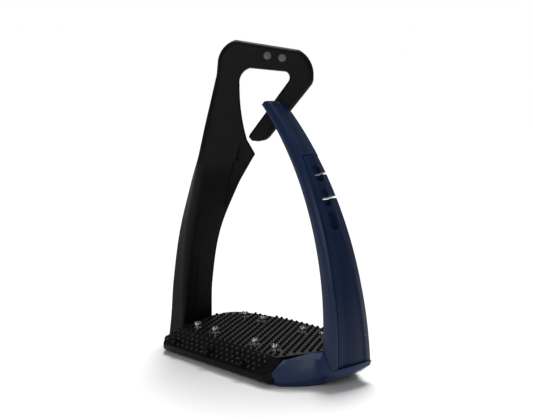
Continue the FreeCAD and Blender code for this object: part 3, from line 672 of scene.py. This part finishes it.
def crossing(point, lean, circle):
    """How far along a leaning line the arm's arc is crossed, outward from the point."""
    centre, radius = circle
    way = direction(lean)
    away = Vector(point) - centre
    half = away.dot(way)
    return -half + math.sqrt(half**2 - away.length_squared + radius**2)


def station(point, lean):
    """The angle on the inner arc, and the lean, of the line through a point of the side view."""
    start = Vector(point) + direction(lean) * crossing(point, lean, ARM_INNER)
    centre, _ = ARM_INNER
    return math.degrees(math.atan2(*(start - centre).yx)), lean


def arm_ring(angle, lean, profile):
    """A ring round the arm.

    The profile gives rows of (reach out from the inner face, edge, aside): aside is measured along y from
    the front edge (-1) or the back edge (1), or for edge 0 it is a share of the outer face's width.
    """
    centre, radius = ARM_INNER
    start = centre + direction(angle) * radius
    depth = crossing(start, lean, ARM_OUTER)
    inset = from_table(FRONT_INSET, start.y)
    shift = from_table(GROOVE_SHIFT, start.y)
    ring = []
    for reach, edge, aside in profile(depth, depth - inset):
        place = start + direction(lean) * reach
        height = min(place.y, ARM_TOP)
        half = lerp(ARM_FOOT_HALF, ARM_TIP_HALF, height / ARM_TOP)
        front = -half - FRONT_FULL
        back = half + from_table(BACK_FULL, height)
        if edge == 0:
            side = lerp(-half + PANEL_START, back - FACE_END, aside)
        elif edge > 0:
            side = back + aside
        else:
            groove = GROOVE_START < aside < GROOVE_END
            side = front + aside + (shift if groove else 0.0)
        ring.append(Vector((place.x, side, height)))
    return ring


def back_profile(depth, ridge):
    """The arm's back: the end of the outer face, ridge, back bevel, back and inner corner."""
    sunk, rise, drop = (FACE_SUNK, 0.45, 0.4) if ridge else (0.0, 0.0, 0.0)
    return [
        (depth - sunk, 1, -6.5),
        (depth + rise, 1, -5.7),
        (depth + rise, 1, -5.3),
        (depth - 0.2, 1, -4.7),
        (depth - 0.3 - drop, 1, -0.9),
        (depth - 0.7 - drop, 1, -0.2),
        (depth - 1.3 - drop, 1, 0.0),
        (1.0, 1, 0.0),
        (0.3, 1, -0.3),
        (0.0, 1, -1.0),
    ]


def front_profile(front, groove):
    """The arm's front: inner corner, front face, wide chamfer, and the groove beside the panels."""
    deep, sunk = (GROOVE_DEPTH, 0.1) if groove else (0.0, 0.0)
    return [
        (0.2, -1, 0.2),
        (0.7, -1, 0.0),
        (front - 2.3, -1, 0.0),
        (front - 2.05, -1, 0.1),
        (front - 0.1, -1, 1.6),
        (front, -1, 1.9),
        (front, -1, 2.6),
        (front - deep, -1, 2.85),
        (front - deep, -1, 3.25),
        (front - sunk, -1, 3.5),
    ]


def outer_at(depth, front, sunk):
    """How far out the outer face lies where the panels start."""
    return lerp(front, depth - sunk, PANEL_SHARE)


def rail_profile(depth, front):
    """The front part only, as many points as the head has: its back face is flat where the panels start."""
    face = outer_at(depth, front, FACE_SUNK)
    count = 1 + CROWN_POINTS + len(back_profile(depth, False))
    back = [(face * (1 - step / count), -1, PANEL_ASIDE) for step in range(count)]
    return front_profile(front, True) + back + [(0.0, -1, PANEL_ASIDE), (0.0, -1, 0.7)]


def crown(depth, front, sunk):
    """Points across the outer face, which swells a little between the front edge and the ridge."""
    points = []
    for step in range(1, CROWN_POINTS + 1):
        share = step / (CROWN_POINTS + 1)
        swell = CROWN_SWELL * math.sin(math.pi * share)
        points.append((lerp(outer_at(depth, front, sunk), depth - sunk, share) + swell, 0, share))
    return points


def head_profile(depth, front):
    face = outer_at(depth, front, 0.0)
    outside = front_profile(front, False) + [(face, -1, PANEL_ASIDE)] + crown(depth, front, 0.0)
    return outside + back_profile(depth, False) + [(0.0, -1, PANEL_ASIDE), (0.0, -1, 0.7)]


def seam_profile(depth, front):
    """The shallow line between the panels' upper end and the head."""
    lowered = []
    for rank, (reach, edge, aside) in enumerate(head_profile(depth, front)):
        outside = SEAM_FIRST <= rank <= SEAM_LAST
        lowered.append((reach - SEAM_DEPTH if outside else reach, edge, aside))
    return lowered


def panel_profile(depth, front):
    face = outer_at(depth, front, FACE_SUNK)
    outside = [(face, -1, PANEL_ASIDE)] + crown(depth, front, FACE_SUNK)
    return outside + back_profile(depth, True) + [(0.0, -1, PANEL_ASIDE)]


def between(first, last, steps, profile):
    """Rings from one station to another."""
    rings = []
    for step in range(steps + 1):
        share = step / steps
        rings.append(arm_ring(lerp(first[0], last[0], share), lerp(first[1], last[1], share), profile))
    return rings


def pocket(name, offset=0.0):
    """A closed obround cutter, sunk squarely into the panels' front edge at a flex line."""
    (x, z), lean = flex_line(name, offset)
    half = lerp(ARM_FOOT_HALF, ARM_TIP_HALF, z / ARM_TOP)
    middle = -half + PANEL_START + POCKET_HALF_WIDE
    inset = from_table(FRONT_INSET, z) * POCKET_INSET
    reach = crossing((x, z), lean, ARM_OUTER) - FACE_SUNK - inset
    way = direction(lean)
    out = Vector((way.x, 0.0, way.y))
    along = Vector((-way.y, 0.0, way.x))
    centre = Vector((x, middle, z)) + out * reach
    rings = []
    for level in (CUTTER_CLEAR, -POCKET_DEPTH):
        ring = []
        for side in (1, -1):
            for step in range(POCKET_STEPS + 1):
                turn = math.pi * step / POCKET_STEPS
                across = side * math.cos(turn) * POCKET_HALF_WIDE
                up = side * (POCKET_HALF_LONG - POCKET_HALF_WIDE + math.sin(turn) * POCKET_HALF_WIDE)
                ring.append(centre + out * level + along * up + Vector((0.0, across, 0.0)))
        rings.append(ring)
    return loft(rings)


def make_panels():
    """The three outer panels, parted by the slits, with the pockets cut into them."""
    foot = station(*FOOT_LINE)
    top = station(*PANEL_TOP_LINE)
    low_slit = [station(*flex_line("flex_low", offset)) for offset in (-SLIT_HALF, SLIT_HALF)]
    high_slit = [station(*flex_line("flex_high", offset)) for offset in (-SLIT_HALF, SLIT_HALF)]
    low_pocket = pocket("flex_low")
    high_pocket = pocket("flex_high")
    panels = [
        ("panel_lower", "frame", foot, low_slit[0], 40, (low_pocket, pocket("flex_low", -POCKET_DROP))),
        ("panel_middle", "arm_middle", low_slit[1], high_slit[0], 8, (low_pocket, high_pocket)),
        ("panel_upper", "arm_upper", high_slit[1], top, 8, (high_pocket,)),
    ]
    for node, body, start, end, steps, pockets in panels:
        rings = between(start, end, steps, panel_profile)
        # the panels take the darker copy of the arm's blue: painted shade
        panel = add_piece(node + "_visual", *loft(rings), "arm_blue", finish="navy_painted_shade")
        for cutter in pockets:
            carve(panel, *cutter)
        soften(panel, 0.3, angle=38.0)
        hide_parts(node)
        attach(panel, body)


def make_rails():
    """The uncut front of the arm in two pieces, each across one flex line, with the smooth head at its top.
    """
    low = Vector(flex_line("flex_low")[0])
    high = Vector(flex_line("flex_high")[0])
    middle = station((low + high) / 2, sum(LEANS.values()) / 2)
    foot = station(*FOOT_LINE)
    top = station(*PANEL_TOP_LINE)
    tip = station(*TIP_LINE)

    bend_start = station(*flex_line("flex_low", -BEND_REACH))
    rings = between(foot, bend_start, 34, rail_profile)[:-1]
    rings += between(bend_start, middle, 18, rail_profile)
    rail = add_piece("rail_lower_visual", *loft(rings), "arm_blue", None, ["rail_lower", "rail_middle"])
    finish_strip(rail, len(rings) - 1, len(rings[0]))
    bend_over(rail)

    bend_end = station(*flex_line("flex_high", BEND_REACH))
    rings = between(middle, bend_end, 18, rail_profile)[:-1]
    rings += between(bend_end, top, 5, rail_profile)
    strip_rows = len(rings) - 1
    seam_end = (top[0] + SEAM_TOP, top[1])
    head_start = (top[0] + HEAD_START, top[1])
    rings += between(top, seam_end, 1, seam_profile)
    rings += between(head_start, tip, 20, head_profile)
    rings += tip_rings(rings[-1])
    rail = add_piece("rail_upper_visual", *loft(rings), "arm_blue", None, ["rail_upper"])
    finish_strip(rail, strip_rows, len(rings[0]))
    bend_over(rail)


def finish_strip(rail, rows, size):
    """Give the strip between the groove and the panels' edge the panels' darker copy of the blue: painted
    shade.
    """
    rail.data.materials.append(MATERIALS["navy_painted_shade"])
    for row in range(rows):
        rail.data.polygons[row * size + STRIP_COLUMN].material_index = 1


def tip_rings(ring):
    """Two smaller rings that round the tip's end."""
    centre = sum(ring, Vector()) / len(ring)
    way = Vector((-0.72, 0.0, 0.69))
    rings = []
    for share, reach in ((0.93, 0.45), (0.78, 0.75)):
        smaller = [centre + (point - centre) * share + way * reach for point in ring]
        rings.append([Vector((point.x, point.y, min(point.z, ARM_TOP))) for point in smaller])
    return rings


def bend_over(piece):
    """Bake a piece's placement into its points."""
    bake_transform(piece)


# ---------------------------------------------------------------- the shoe

# front to back round the shoe: a point of its top rim, of its widest line and of its foot
SHOE_COLUMNS = [
    ((53.9, -30.5, 16.8), (50.1, -36.9, 8.9), (49.6, -34.4, 1.8)),
    ((56.3, -28.0, 17.0), (50.5, -36.6, 8.2), (49.8, -34.0, 1.4)),
    ((58.0, -26.1, 17.0), (52.5, -35.0, 4.0), (52.2, -31.6, 0.0)),
    ((60.9, -22.9, 17.0), (57.1, -31.7, 3.2), (56.5, -27.2, 0.0)),
    ((65.5, -17.9, 17.0), (67.5, -19.9, 5.6), (62.5, -20.7, 0.0)),
    ((69.6, -14.9, 17.3), (73.4, -16.6, 9.0), (66.3, -13.6, 0.2)),
    ((71.4, -14.7, 22.4), (78.4, -15.2, 12.2), (76.0, -13.0, 4.9)),
    ((76.0, -9.0, 12.2), (81.4, -14.6, 12.7), (81.2, -13.4, 8.2)),
    ((78.0, -2.0, 12.8), (85.0, -3.6, 13.9), (84.9, -3.5, 9.6)),
    ((76.0, 9.0, 13.2), (84.9, 14.5, 14.2), (84.4, 13.6, 11.2)),
    ((71.4, 14.8, 22.2), (78.5, 16.2, 12.1), (76.0, 15.0, 5.0)),
    ((66.0, 17.0, 16.4), (70.0, 21.0, 7.0), (64.0, 20.0, 0.4)),
    ((59.0, 21.0, 16.0), (60.0, 28.0, 6.0), (56.0, 26.0, 0.2)),
]
SHOE_CENTRE = Vector((57.0, -4.0, 0.0))
SHOE_INSIDE = [(55.0, 22.0), (55.0, -27.0)]
LEDGE_WIDE = 1.3
LEDGE_DEEP = 0.25
LEDGE_TOP = 17.0


def shoe_ring(points, inside_height):
    """A ring through the shoe's visible points, closed behind them by two upright inner corners."""
    return points + [Vector((x, y, inside_height)) for x, y in SHOE_INSIDE]


def make_shoe():
    """The faceted moulding from the base's front corner round the arm's foot."""
    rim, wide, foot = [[Vector(point) for point in row] for row in zip(*SHOE_COLUMNS)]
    ledge = []
    for point in rim:
        inward = SHOE_CENTRE - point
        inward.z = 0.0
        inner = point + inward.normalized() * LEDGE_WIDE
        inner.z = min(inner.z, LEDGE_TOP) - LEDGE_DEEP
        ledge.append(inner)
    rings = [
        shoe_ring(foot, 0.5),
        shoe_ring(wide, 6.0),
        shoe_ring(rim, 16.7),
        shoe_ring(ledge, LEDGE_TOP - LEDGE_DEEP),
    ]
    # the shoe takes the lighter copy of the arm's blue: painted light
    shoe = add_piece("outer_shoe_visual", *loft(rings), "arm_blue", finish="navy_painted_light")
    soften(shoe, 0.45, segments=3, angle=24.0)
    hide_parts("outer_shoe")
    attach(shoe, "frame")


# ---------------------------------------------------------------- the base, the grip and the tread

DECK_TOP = PAD_LOW.z
PAD_FRONT = -PAD_LOW.y
PAD_HALF = 60.0
BASE_FRONT = -box_mm("base_platform")[0].y

# the tread's plan behind its straight front: its straight sides, its back corners and its bowed back
SIDE_START = 8.0
SIDE_END = 17.0
CORNER_RADIUS = 14.0
BACK_HALF = 51.0
BACK_EDGE = 33.5
BACK_RADIUS = 161.0

# the front slope, at 45 degrees
SLOPE_DROP = 10.0
SLOPE_LENGTH = SLOPE_DROP * math.sqrt(2)
SLOPE_OUT = Vector((0.0, -1.0, 1.0)).normalized()
SLOPE_DOWN = Vector((0.0, -1.0, -1.0)).normalized()
# the slope at the front's left end: where it starts, how far out it is cut, its fall for each
# millimetre outward, and how far back it goes
LEFT_FOLD = -47.5
LEFT_REACH = 20.0
LEFT_SLOPE = 0.837
LEFT_BACK = -19.0
# a height above everything that is cut, and one below it
ABOVE = 40.0
BELOW = -5.0

GRIP_RIGHT = box_mm("front_grip")[1].x
GRIP_THICK = 2.0
DOME_PITCH = 5.0
DOME_ROWS = 4
# the domes on the slope's left end, in plan
LEFT_DOMES = [(-50.5, -31.8), (-51.0, -34.6), (-51.5, -37.2), (-54.5, -32.6), (-55.0, -35.2)]

TOOTH_PITCH = 5.0
TOOTH_ROW = 4.43
TOOTH_HIGH = 1.7
TOOTH_MARGIN = 1.4
# the first row's distance behind the front edge, and where the teeth reach the full width
TOOTH_START = 2.2
TOOTH_FULL = 10.0
STUD_CLEARANCE = 3.6
# the branch's foot covers this much of the tread's left edge, between these places along y
BRANCH_COVER = 2.5
BRANCH_FRONT = -19.0
BRANCH_BACK = 9.0


def plan(grow, front_edge):
    """The tread's plan: straight front, bowed back, rounded back corners."""
    side = PAD_HALF + grow
    corner = BACK_HALF + grow
    back = BACK_EDGE + grow
    outline = [Vector(point) for point in front_edge]
    outline += [Vector((side, SIDE_START))]
    outline += arc((side, SIDE_END), (corner, back), CORNER_RADIUS + grow, 6)
    outline += arc((corner, back), (-corner, back), BACK_RADIUS, 24)
    outline += arc((-corner, back), (-side, SIDE_END), CORNER_RADIUS + grow, 6)
    outline += [Vector((-side, SIDE_END)), Vector((-side, SIDE_START))]
    return outline


def slope_point(x, down, out=0.0):
    """A point on the front grip, measured down its slope from the tread's front edge."""
    return Vector((x, -PAD_FRONT, TREAD_TOP)) + SLOPE_DOWN * down + SLOPE_OUT * out


def left_wedge():
    """What is cut away above the slope at the front's left end."""
    outer = LEFT_FOLD - LEFT_REACH
    low = TREAD_TOP - LEFT_REACH * LEFT_SLOPE
    outline = [(LEFT_FOLD, TREAD_TOP), (outer, low), (outer, ABOVE), (LEFT_FOLD, ABOVE)]
    return prism_xz(outline, -BASE_FRONT - 1.0, LEFT_BACK)


def grip_shape(gap, rise):
    """The grip's slab, sunk in the slope, grown by a gap and raised above the slope by a rise."""
    outline = [
        (-61.0, 0.0),
        (-61.0, 12.4),
        (36.0, 12.4),
        (40.0, 11.2),
        (42.6, 8.6),
        (43.8, 5.0),
        (GRIP_RIGHT, 0.0),
    ]
    rings = []
    for out in (-GRIP_THICK - gap, rise):
        ring = []
        for x, down in outline:
            grown = down + (gap if down > 0 else -0.6)
            ring.append(slope_point(x + (gap if x > 0 else 0.0), grown, out))
        rings.append(ring)
    return loft(rings)


def make_base():
    """The base moulding under the pad, with its sloping front and softly rounded lower edges."""
    profile = [
        (-BASE_FRONT + 20.0, 0.0),
        (60.0, 0.0),
        (60.0, DECK_TOP),
        (-PAD_FRONT + 0.5, DECK_TOP),
        (-PAD_FRONT - 0.4, TREAD_TOP - 0.4),
        (-BASE_FRONT, TREAD_TOP - SLOPE_DROP),
        (-BASE_FRONT, 4.6),
        (-BASE_FRONT + 2.2, 2.3),
    ]
    base = add_piece("base_platform_visual", *prism_yz(profile, -70.0, 70.0), "composite_black")
    front = [
        (-PAD_HALF - 1.5, -31.5),
        (-52.5, -BASE_FRONT),
        (46.0, -BASE_FRONT),
        (49.6, -37.2),
        (50.6, -34.0),
        (52.4, -30.0),
        (59.0, -21.0),
    ]
    keep_common(base, *prism_xy(plan(0.0, front), BELOW, ABOVE))
    carve(base, *left_wedge())
    carve(base, *grip_shape(0.1, 6.0))
    cover_low, cover_high = box_mm("underside_cover")
    gap = 0.2
    floor = [
        (cover_low.x - gap, cover_low.y - gap),
        (cover_high.x + gap, cover_low.y - gap),
        (cover_high.x + gap, cover_high.y + gap),
        (cover_low.x - gap, cover_high.y + gap),
    ]
    carve(base, *prism_xy(floor, -1.0, cover_high.z))
    soften(base, 0.7, segments=3, angle=25.0)
    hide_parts("base_platform")
    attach(base, "frame")


def dome(centre, axis, radius, height):
    """A low dome, sunk a little into the face that it stands on."""
    rows = [(-0.4, 0.0), (-0.4, radius), (0.0, radius)]
    rows += [(height * 0.55, radius * 0.8), (height * 0.9, radius * 0.45), (height, 0.0)]
    return turned(centre, axis, rows, 10)


def make_grip():
    """The front grip: a thin slab on the slope with rows of small domes."""
    slab = add_piece("front_grip_visual", *grip_shape(0.0, 0.1), "pad_rubber")
    front = [
        (-59.5, -32.0),
        (-52.0, -BASE_FRONT),
        (60.0, -BASE_FRONT),
        (60.0, -PAD_FRONT),
        (-59.5, -PAD_FRONT),
    ]
    keep_common(slab, *prism_xy(front, BELOW, ABOVE))
    carve(slab, *left_wedge())
    soften(slab, 0.3, angle=25.0)
    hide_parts("front_grip")
    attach(slab, "frame")

    domes = []
    spacing = SLOPE_LENGTH / (DOME_ROWS + 0.55)
    for row in range(DOME_ROWS):
        down = spacing * (row + 0.65)
        x = LEFT_FOLD + 1.0 + (DOME_PITCH / 2 if row % 2 else 0.0)
        # the grip's right end is rounded, so the lower rows are shorter
        while x < GRIP_RIGHT - 1.5 - 0.75 * row**1.6:
            domes.append(dome(slope_point(x, down), SLOPE_OUT, radius=0.85, height=0.6))
            x += DOME_PITCH
    for x, y in LEFT_DOMES:
        front_height = TREAD_TOP + PAD_FRONT + y
        left_height = TREAD_TOP + (x - LEFT_FOLD) * LEFT_SLOPE
        out = Vector((-LEFT_SLOPE, 0.0, 1.0)).normalized() if left_height < front_height else SLOPE_OUT
        place = Vector((x, y, min(front_height, left_height)))
        domes.append(dome(place, out, radius=0.8, height=0.5))
    # the domes take the lighter copy of the rubber: painted highlight
    add_piece("front_grip_domes_visual", *merge(*domes), "pad_rubber", "frame", finish="domes")


def inside_plan(x, y, margin):
    """True well inside the tread's plan outline."""
    if y < -PAD_FRONT + margin:
        return False
    side = PAD_HALF
    if y < TOOTH_FULL:
        side = lerp(-LEFT_FOLD, PAD_HALF, (y + PAD_FRONT) / (TOOTH_FULL + PAD_FRONT))
    if y > SIDE_END:
        side = lerp(PAD_HALF, BACK_HALF, (y - SIDE_END) / (BACK_EDGE - SIDE_END))
    centre = BACK_EDGE - math.sqrt(BACK_RADIUS**2 - BACK_HALF**2)
    bow = centre + math.sqrt((BACK_RADIUS - margin) ** 2 - x**2)
    return abs(x) < side - margin and y < bow


def stud_places():
    """The eight tread studs' places: the outer ones are read from their CAD box."""
    _, high = box_mm("tread_studs")
    far = high.x - FLANGE_RADIUS
    near = far * INNER_STUDS
    row = high.y - FLANGE_RADIUS
    return [(across * x, along * row) for x in (far, near) for across in (-1, 1) for along in (-1, 1)]


def make_pad():
    """The tread pad: a thin plate with staggered rows of pointed teeth between the studs."""
    front = [(LEFT_FOLD, -PAD_FRONT), (-LEFT_FOLD, -PAD_FRONT)]
    body = prism_xy(plan(0.0, front), DECK_TOP, TREAD_TOP - 0.12)
    pad = add_piece("tread_pad_visual", *body, "pad_rubber")
    soften(pad, 0.2)
    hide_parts("tread_pad")
    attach(pad, "frame")

    # the thin sheet on the tread's top takes the lighter copy of the rubber: painted reflection
    inner = [(-46.6, -PAD_FRONT + 1.0), (46.6, -PAD_FRONT + 1.0)]
    sheet = prism_xy(plan(-1.0, inner), TREAD_TOP - 0.4, TREAD_TOP)
    add_piece("tread_plate_visual", *sheet, "pad_rubber", "frame", finish="plate")

    profile = [(-0.4, 0.0), (-0.4, 1.4), (0.0, 1.35), (TOOTH_HIGH * 0.85, 0.75), (TOOTH_HIGH, 0.0)]
    teeth = []
    row = 0
    y = -PAD_FRONT + TOOTH_START
    while y < PAD_HIGH.y:
        x = -PAD_HALF + (TOOTH_PITCH / 2 if row % 2 else 0.0)
        while x < PAD_HALF:
            clear = all(math.dist((x, y), place) > STUD_CLEARANCE for place in stud_places())
            under_branch = x < -PAD_HALF + BRANCH_COVER and BRANCH_FRONT < y < BRANCH_BACK
            if clear and not under_branch and inside_plan(x, y, TOOTH_MARGIN):
                teeth.append(turned(Vector((x, y, TREAD_TOP)), UP, profile, 6))
            x += TOOTH_PITCH
        y += TOOTH_ROW
        row += 1
    # the teeth take the darker copy of the rubber: painted shade
    add_piece("tread_teeth_visual", *merge(*teeth), "pad_rubber", "frame", finish="teeth")


# ---------------------------------------------------------------- the studs

FLANGE_RADIUS = 2.6
CROWN_TEETH = 6
NOTCH_DEPTH = 1.25
STUD_SIDES = 36
# how far out the inner tread studs are, as a share of the outer ones
INNER_STUDS = 19.5 / 37.7
# the studs in the front grip, along x
GRIP_STUDS = (-42.5, -8.0, 25.0)


def stud(centre, axis, wide, tall, shank):
    """A screw-in stud: flange, waist, and a cupped crown cut into pointed teeth.

    Wide and tall stretch it across and along its axis, and shank is how deep it goes.
    """
    first = axis.orthogonal().normalized()
    second = axis.cross(first)
    rows = [(-shank, 0.02), (-shank, 1.5), (0.0, 1.5), (0.0, 2.35), (0.15, FLANGE_RADIUS)]
    rows += [(0.75, FLANGE_RADIUS), (1.05, 2.25), (1.35, 1.85), (1.7, 1.85), (2.1, 2.3), (3.0, 2.4)]
    tips = [(4.1, 2.2), (3.9, 1.55)]
    cup = [(2.9, 1.1), (2.7, 0.02)]
    rings = []
    for reach, radius in rows + tips + cup:
        ring = []
        for side in range(STUD_SIDES):
            turn = 2 * math.pi * side / STUD_SIDES
            notch = 0.5 - 0.5 * math.cos(turn * CROWN_TEETH)
            drop = NOTCH_DEPTH * notch**0.7 if (reach, radius) in tips else 0.0
            out = first * math.cos(turn) + second * math.sin(turn)
            lift = (reach - drop) * tall if reach > 0 else reach
            ring.append(centre + axis * lift + out * radius * wide)
        rings.append(ring)
    return loft(rings)


def make_studs():
    """Chromed studs in the tread, and low black ones in the front grip."""
    shapes = []
    for x, y in stud_places():
        shapes.append(stud(Vector((x, y, TREAD_TOP)), UP, wide=1.0, tall=1.18, shank=7.5))
    add_piece("tread_studs_visual", *merge(*shapes), "stud_chrome", "frame", ["tread_studs"])
    shapes = []
    for x in GRIP_STUDS:
        place = slope_point(x, SLOPE_LENGTH * 0.7)
        shapes.append(stud(place, SLOPE_OUT, wide=1.15, tall=0.85, shank=1.0))
    add_piece("front_grip_studs_visual", *merge(*shapes), "stud_black", "frame", ["front_grip_studs"])


# ---------------------------------------------------------------- floor, light and camera


def make_floor():
    """A plain pale floor."""
    mesh = bpy.data.meshes.new("floor")
    reach = 6.0
    corners = [(-reach, -reach), (reach, -reach), (reach, reach), (-reach, reach)]
    mesh.from_pydata([(x, y, cad_low.z) for x, y in corners], [], [(0, 1, 2, 3)])
    floor = bpy.data.objects.new("floor", mesh)
    bpy.context.scene.collection.objects.link(floor)
    n = Nodes("floor")
    soft = n.noise(3.0, 2.0)
    n.link(n.ramp(soft, [(0.3, 0.97), (0.7, 0.99)]), n.shader.inputs["Base Color"])
    n.set(Roughness=1.0, Specular_IOR_Level=0.0)
    mesh.materials.append(n.material)


def add_lamp(light, way, place=(0.0, 0.0, 0.0)):
    """Put a light at a place, shining along a way."""
    lamp = bpy.data.objects.new(light.name, light)
    lamp.location = place
    lamp.rotation_mode = "QUATERNION"
    lamp.rotation_quaternion = way.to_track_quat("-Z", "Y")
    bpy.context.scene.collection.objects.link(lamp)


def make_light():
    """Soft light all round, a wide sun overhead, and a disk near the camera that picks out facing edges."""
    world = bpy.data.worlds.new("studio")
    world.use_nodes = True
    tree = world.node_tree
    # the camera sees a white background, and everything else is lit by a dim one
    dim = tree.nodes["Background"]
    seen = tree.nodes.new("ShaderNodeBackground")
    for background, strength in ((dim, 0.2), (seen, 1.0)):
        background.inputs["Color"].default_value = (1.0, 1.0, 1.0, 1.0)
        background.inputs["Strength"].default_value = strength
    path = tree.nodes.new("ShaderNodeLightPath")
    mix = tree.nodes.new("ShaderNodeMixShader")
    tree.links.new(path.outputs["Is Camera Ray"], mix.inputs["Fac"])
    tree.links.new(dim.outputs["Background"], mix.inputs[1])
    tree.links.new(seen.outputs["Background"], mix.inputs[2])
    tree.links.new(mix.outputs["Shader"], tree.nodes["World Output"].inputs["Surface"])
    bpy.context.scene.world = world

    overhead = bpy.data.lights.new("overhead", "SUN")
    overhead.energy = 3.0
    overhead.angle = math.radians(32.0)
    add_lamp(overhead, Vector((0.26, -0.34, -1.0)))

    front = bpy.data.lights.new("front", "AREA")
    front.shape = "DISK"
    front.size = 0.4
    front.energy = 2.0
    place = Vector((0.6, -0.72, 0.46))
    add_lamp(front, Vector((0.0, 0.0, 0.1)) - place, place)
    bpy.context.scene.view_settings.view_transform = "Standard"


CAMERA_PLACE = (0.40975, -0.3844, 0.16805)
CAMERA_AZIMUTH = math.radians(46.324)
CAMERA_ELEVATION = math.radians(6.91)
CAMERA_ROLL = math.radians(0.095)
# a lens and its sensor are in millimetres in Blender
CAMERA_LENS = 58.22
SENSOR_WIDTH = 36.0


def make_camera():
    """The photograph's view: from the right of the front, a little above the tread."""
    data = bpy.data.cameras.new("camera")
    data.sensor_width = SENSOR_WIDTH
    data.lens = CAMERA_LENS
    camera = bpy.data.objects.new("camera", data)
    turn = Matrix.Rotation(CAMERA_AZIMUTH, 4, "Z")
    tilt = Matrix.Rotation(math.pi / 2 - CAMERA_ELEVATION, 4, "X")
    roll = Matrix.Rotation(CAMERA_ROLL, 4, "Z")
    camera.matrix_world = Matrix.Translation(CAMERA_PLACE) @ turn @ tilt @ roll
    bpy.context.scene.collection.objects.link(camera)
    bpy.context.scene.camera = camera


make_branch()
make_rivets()
make_panels()
make_rails()
make_shoe()
make_base()
make_grip()
make_pad()
make_studs()
make_floor()
make_light()
make_camera()
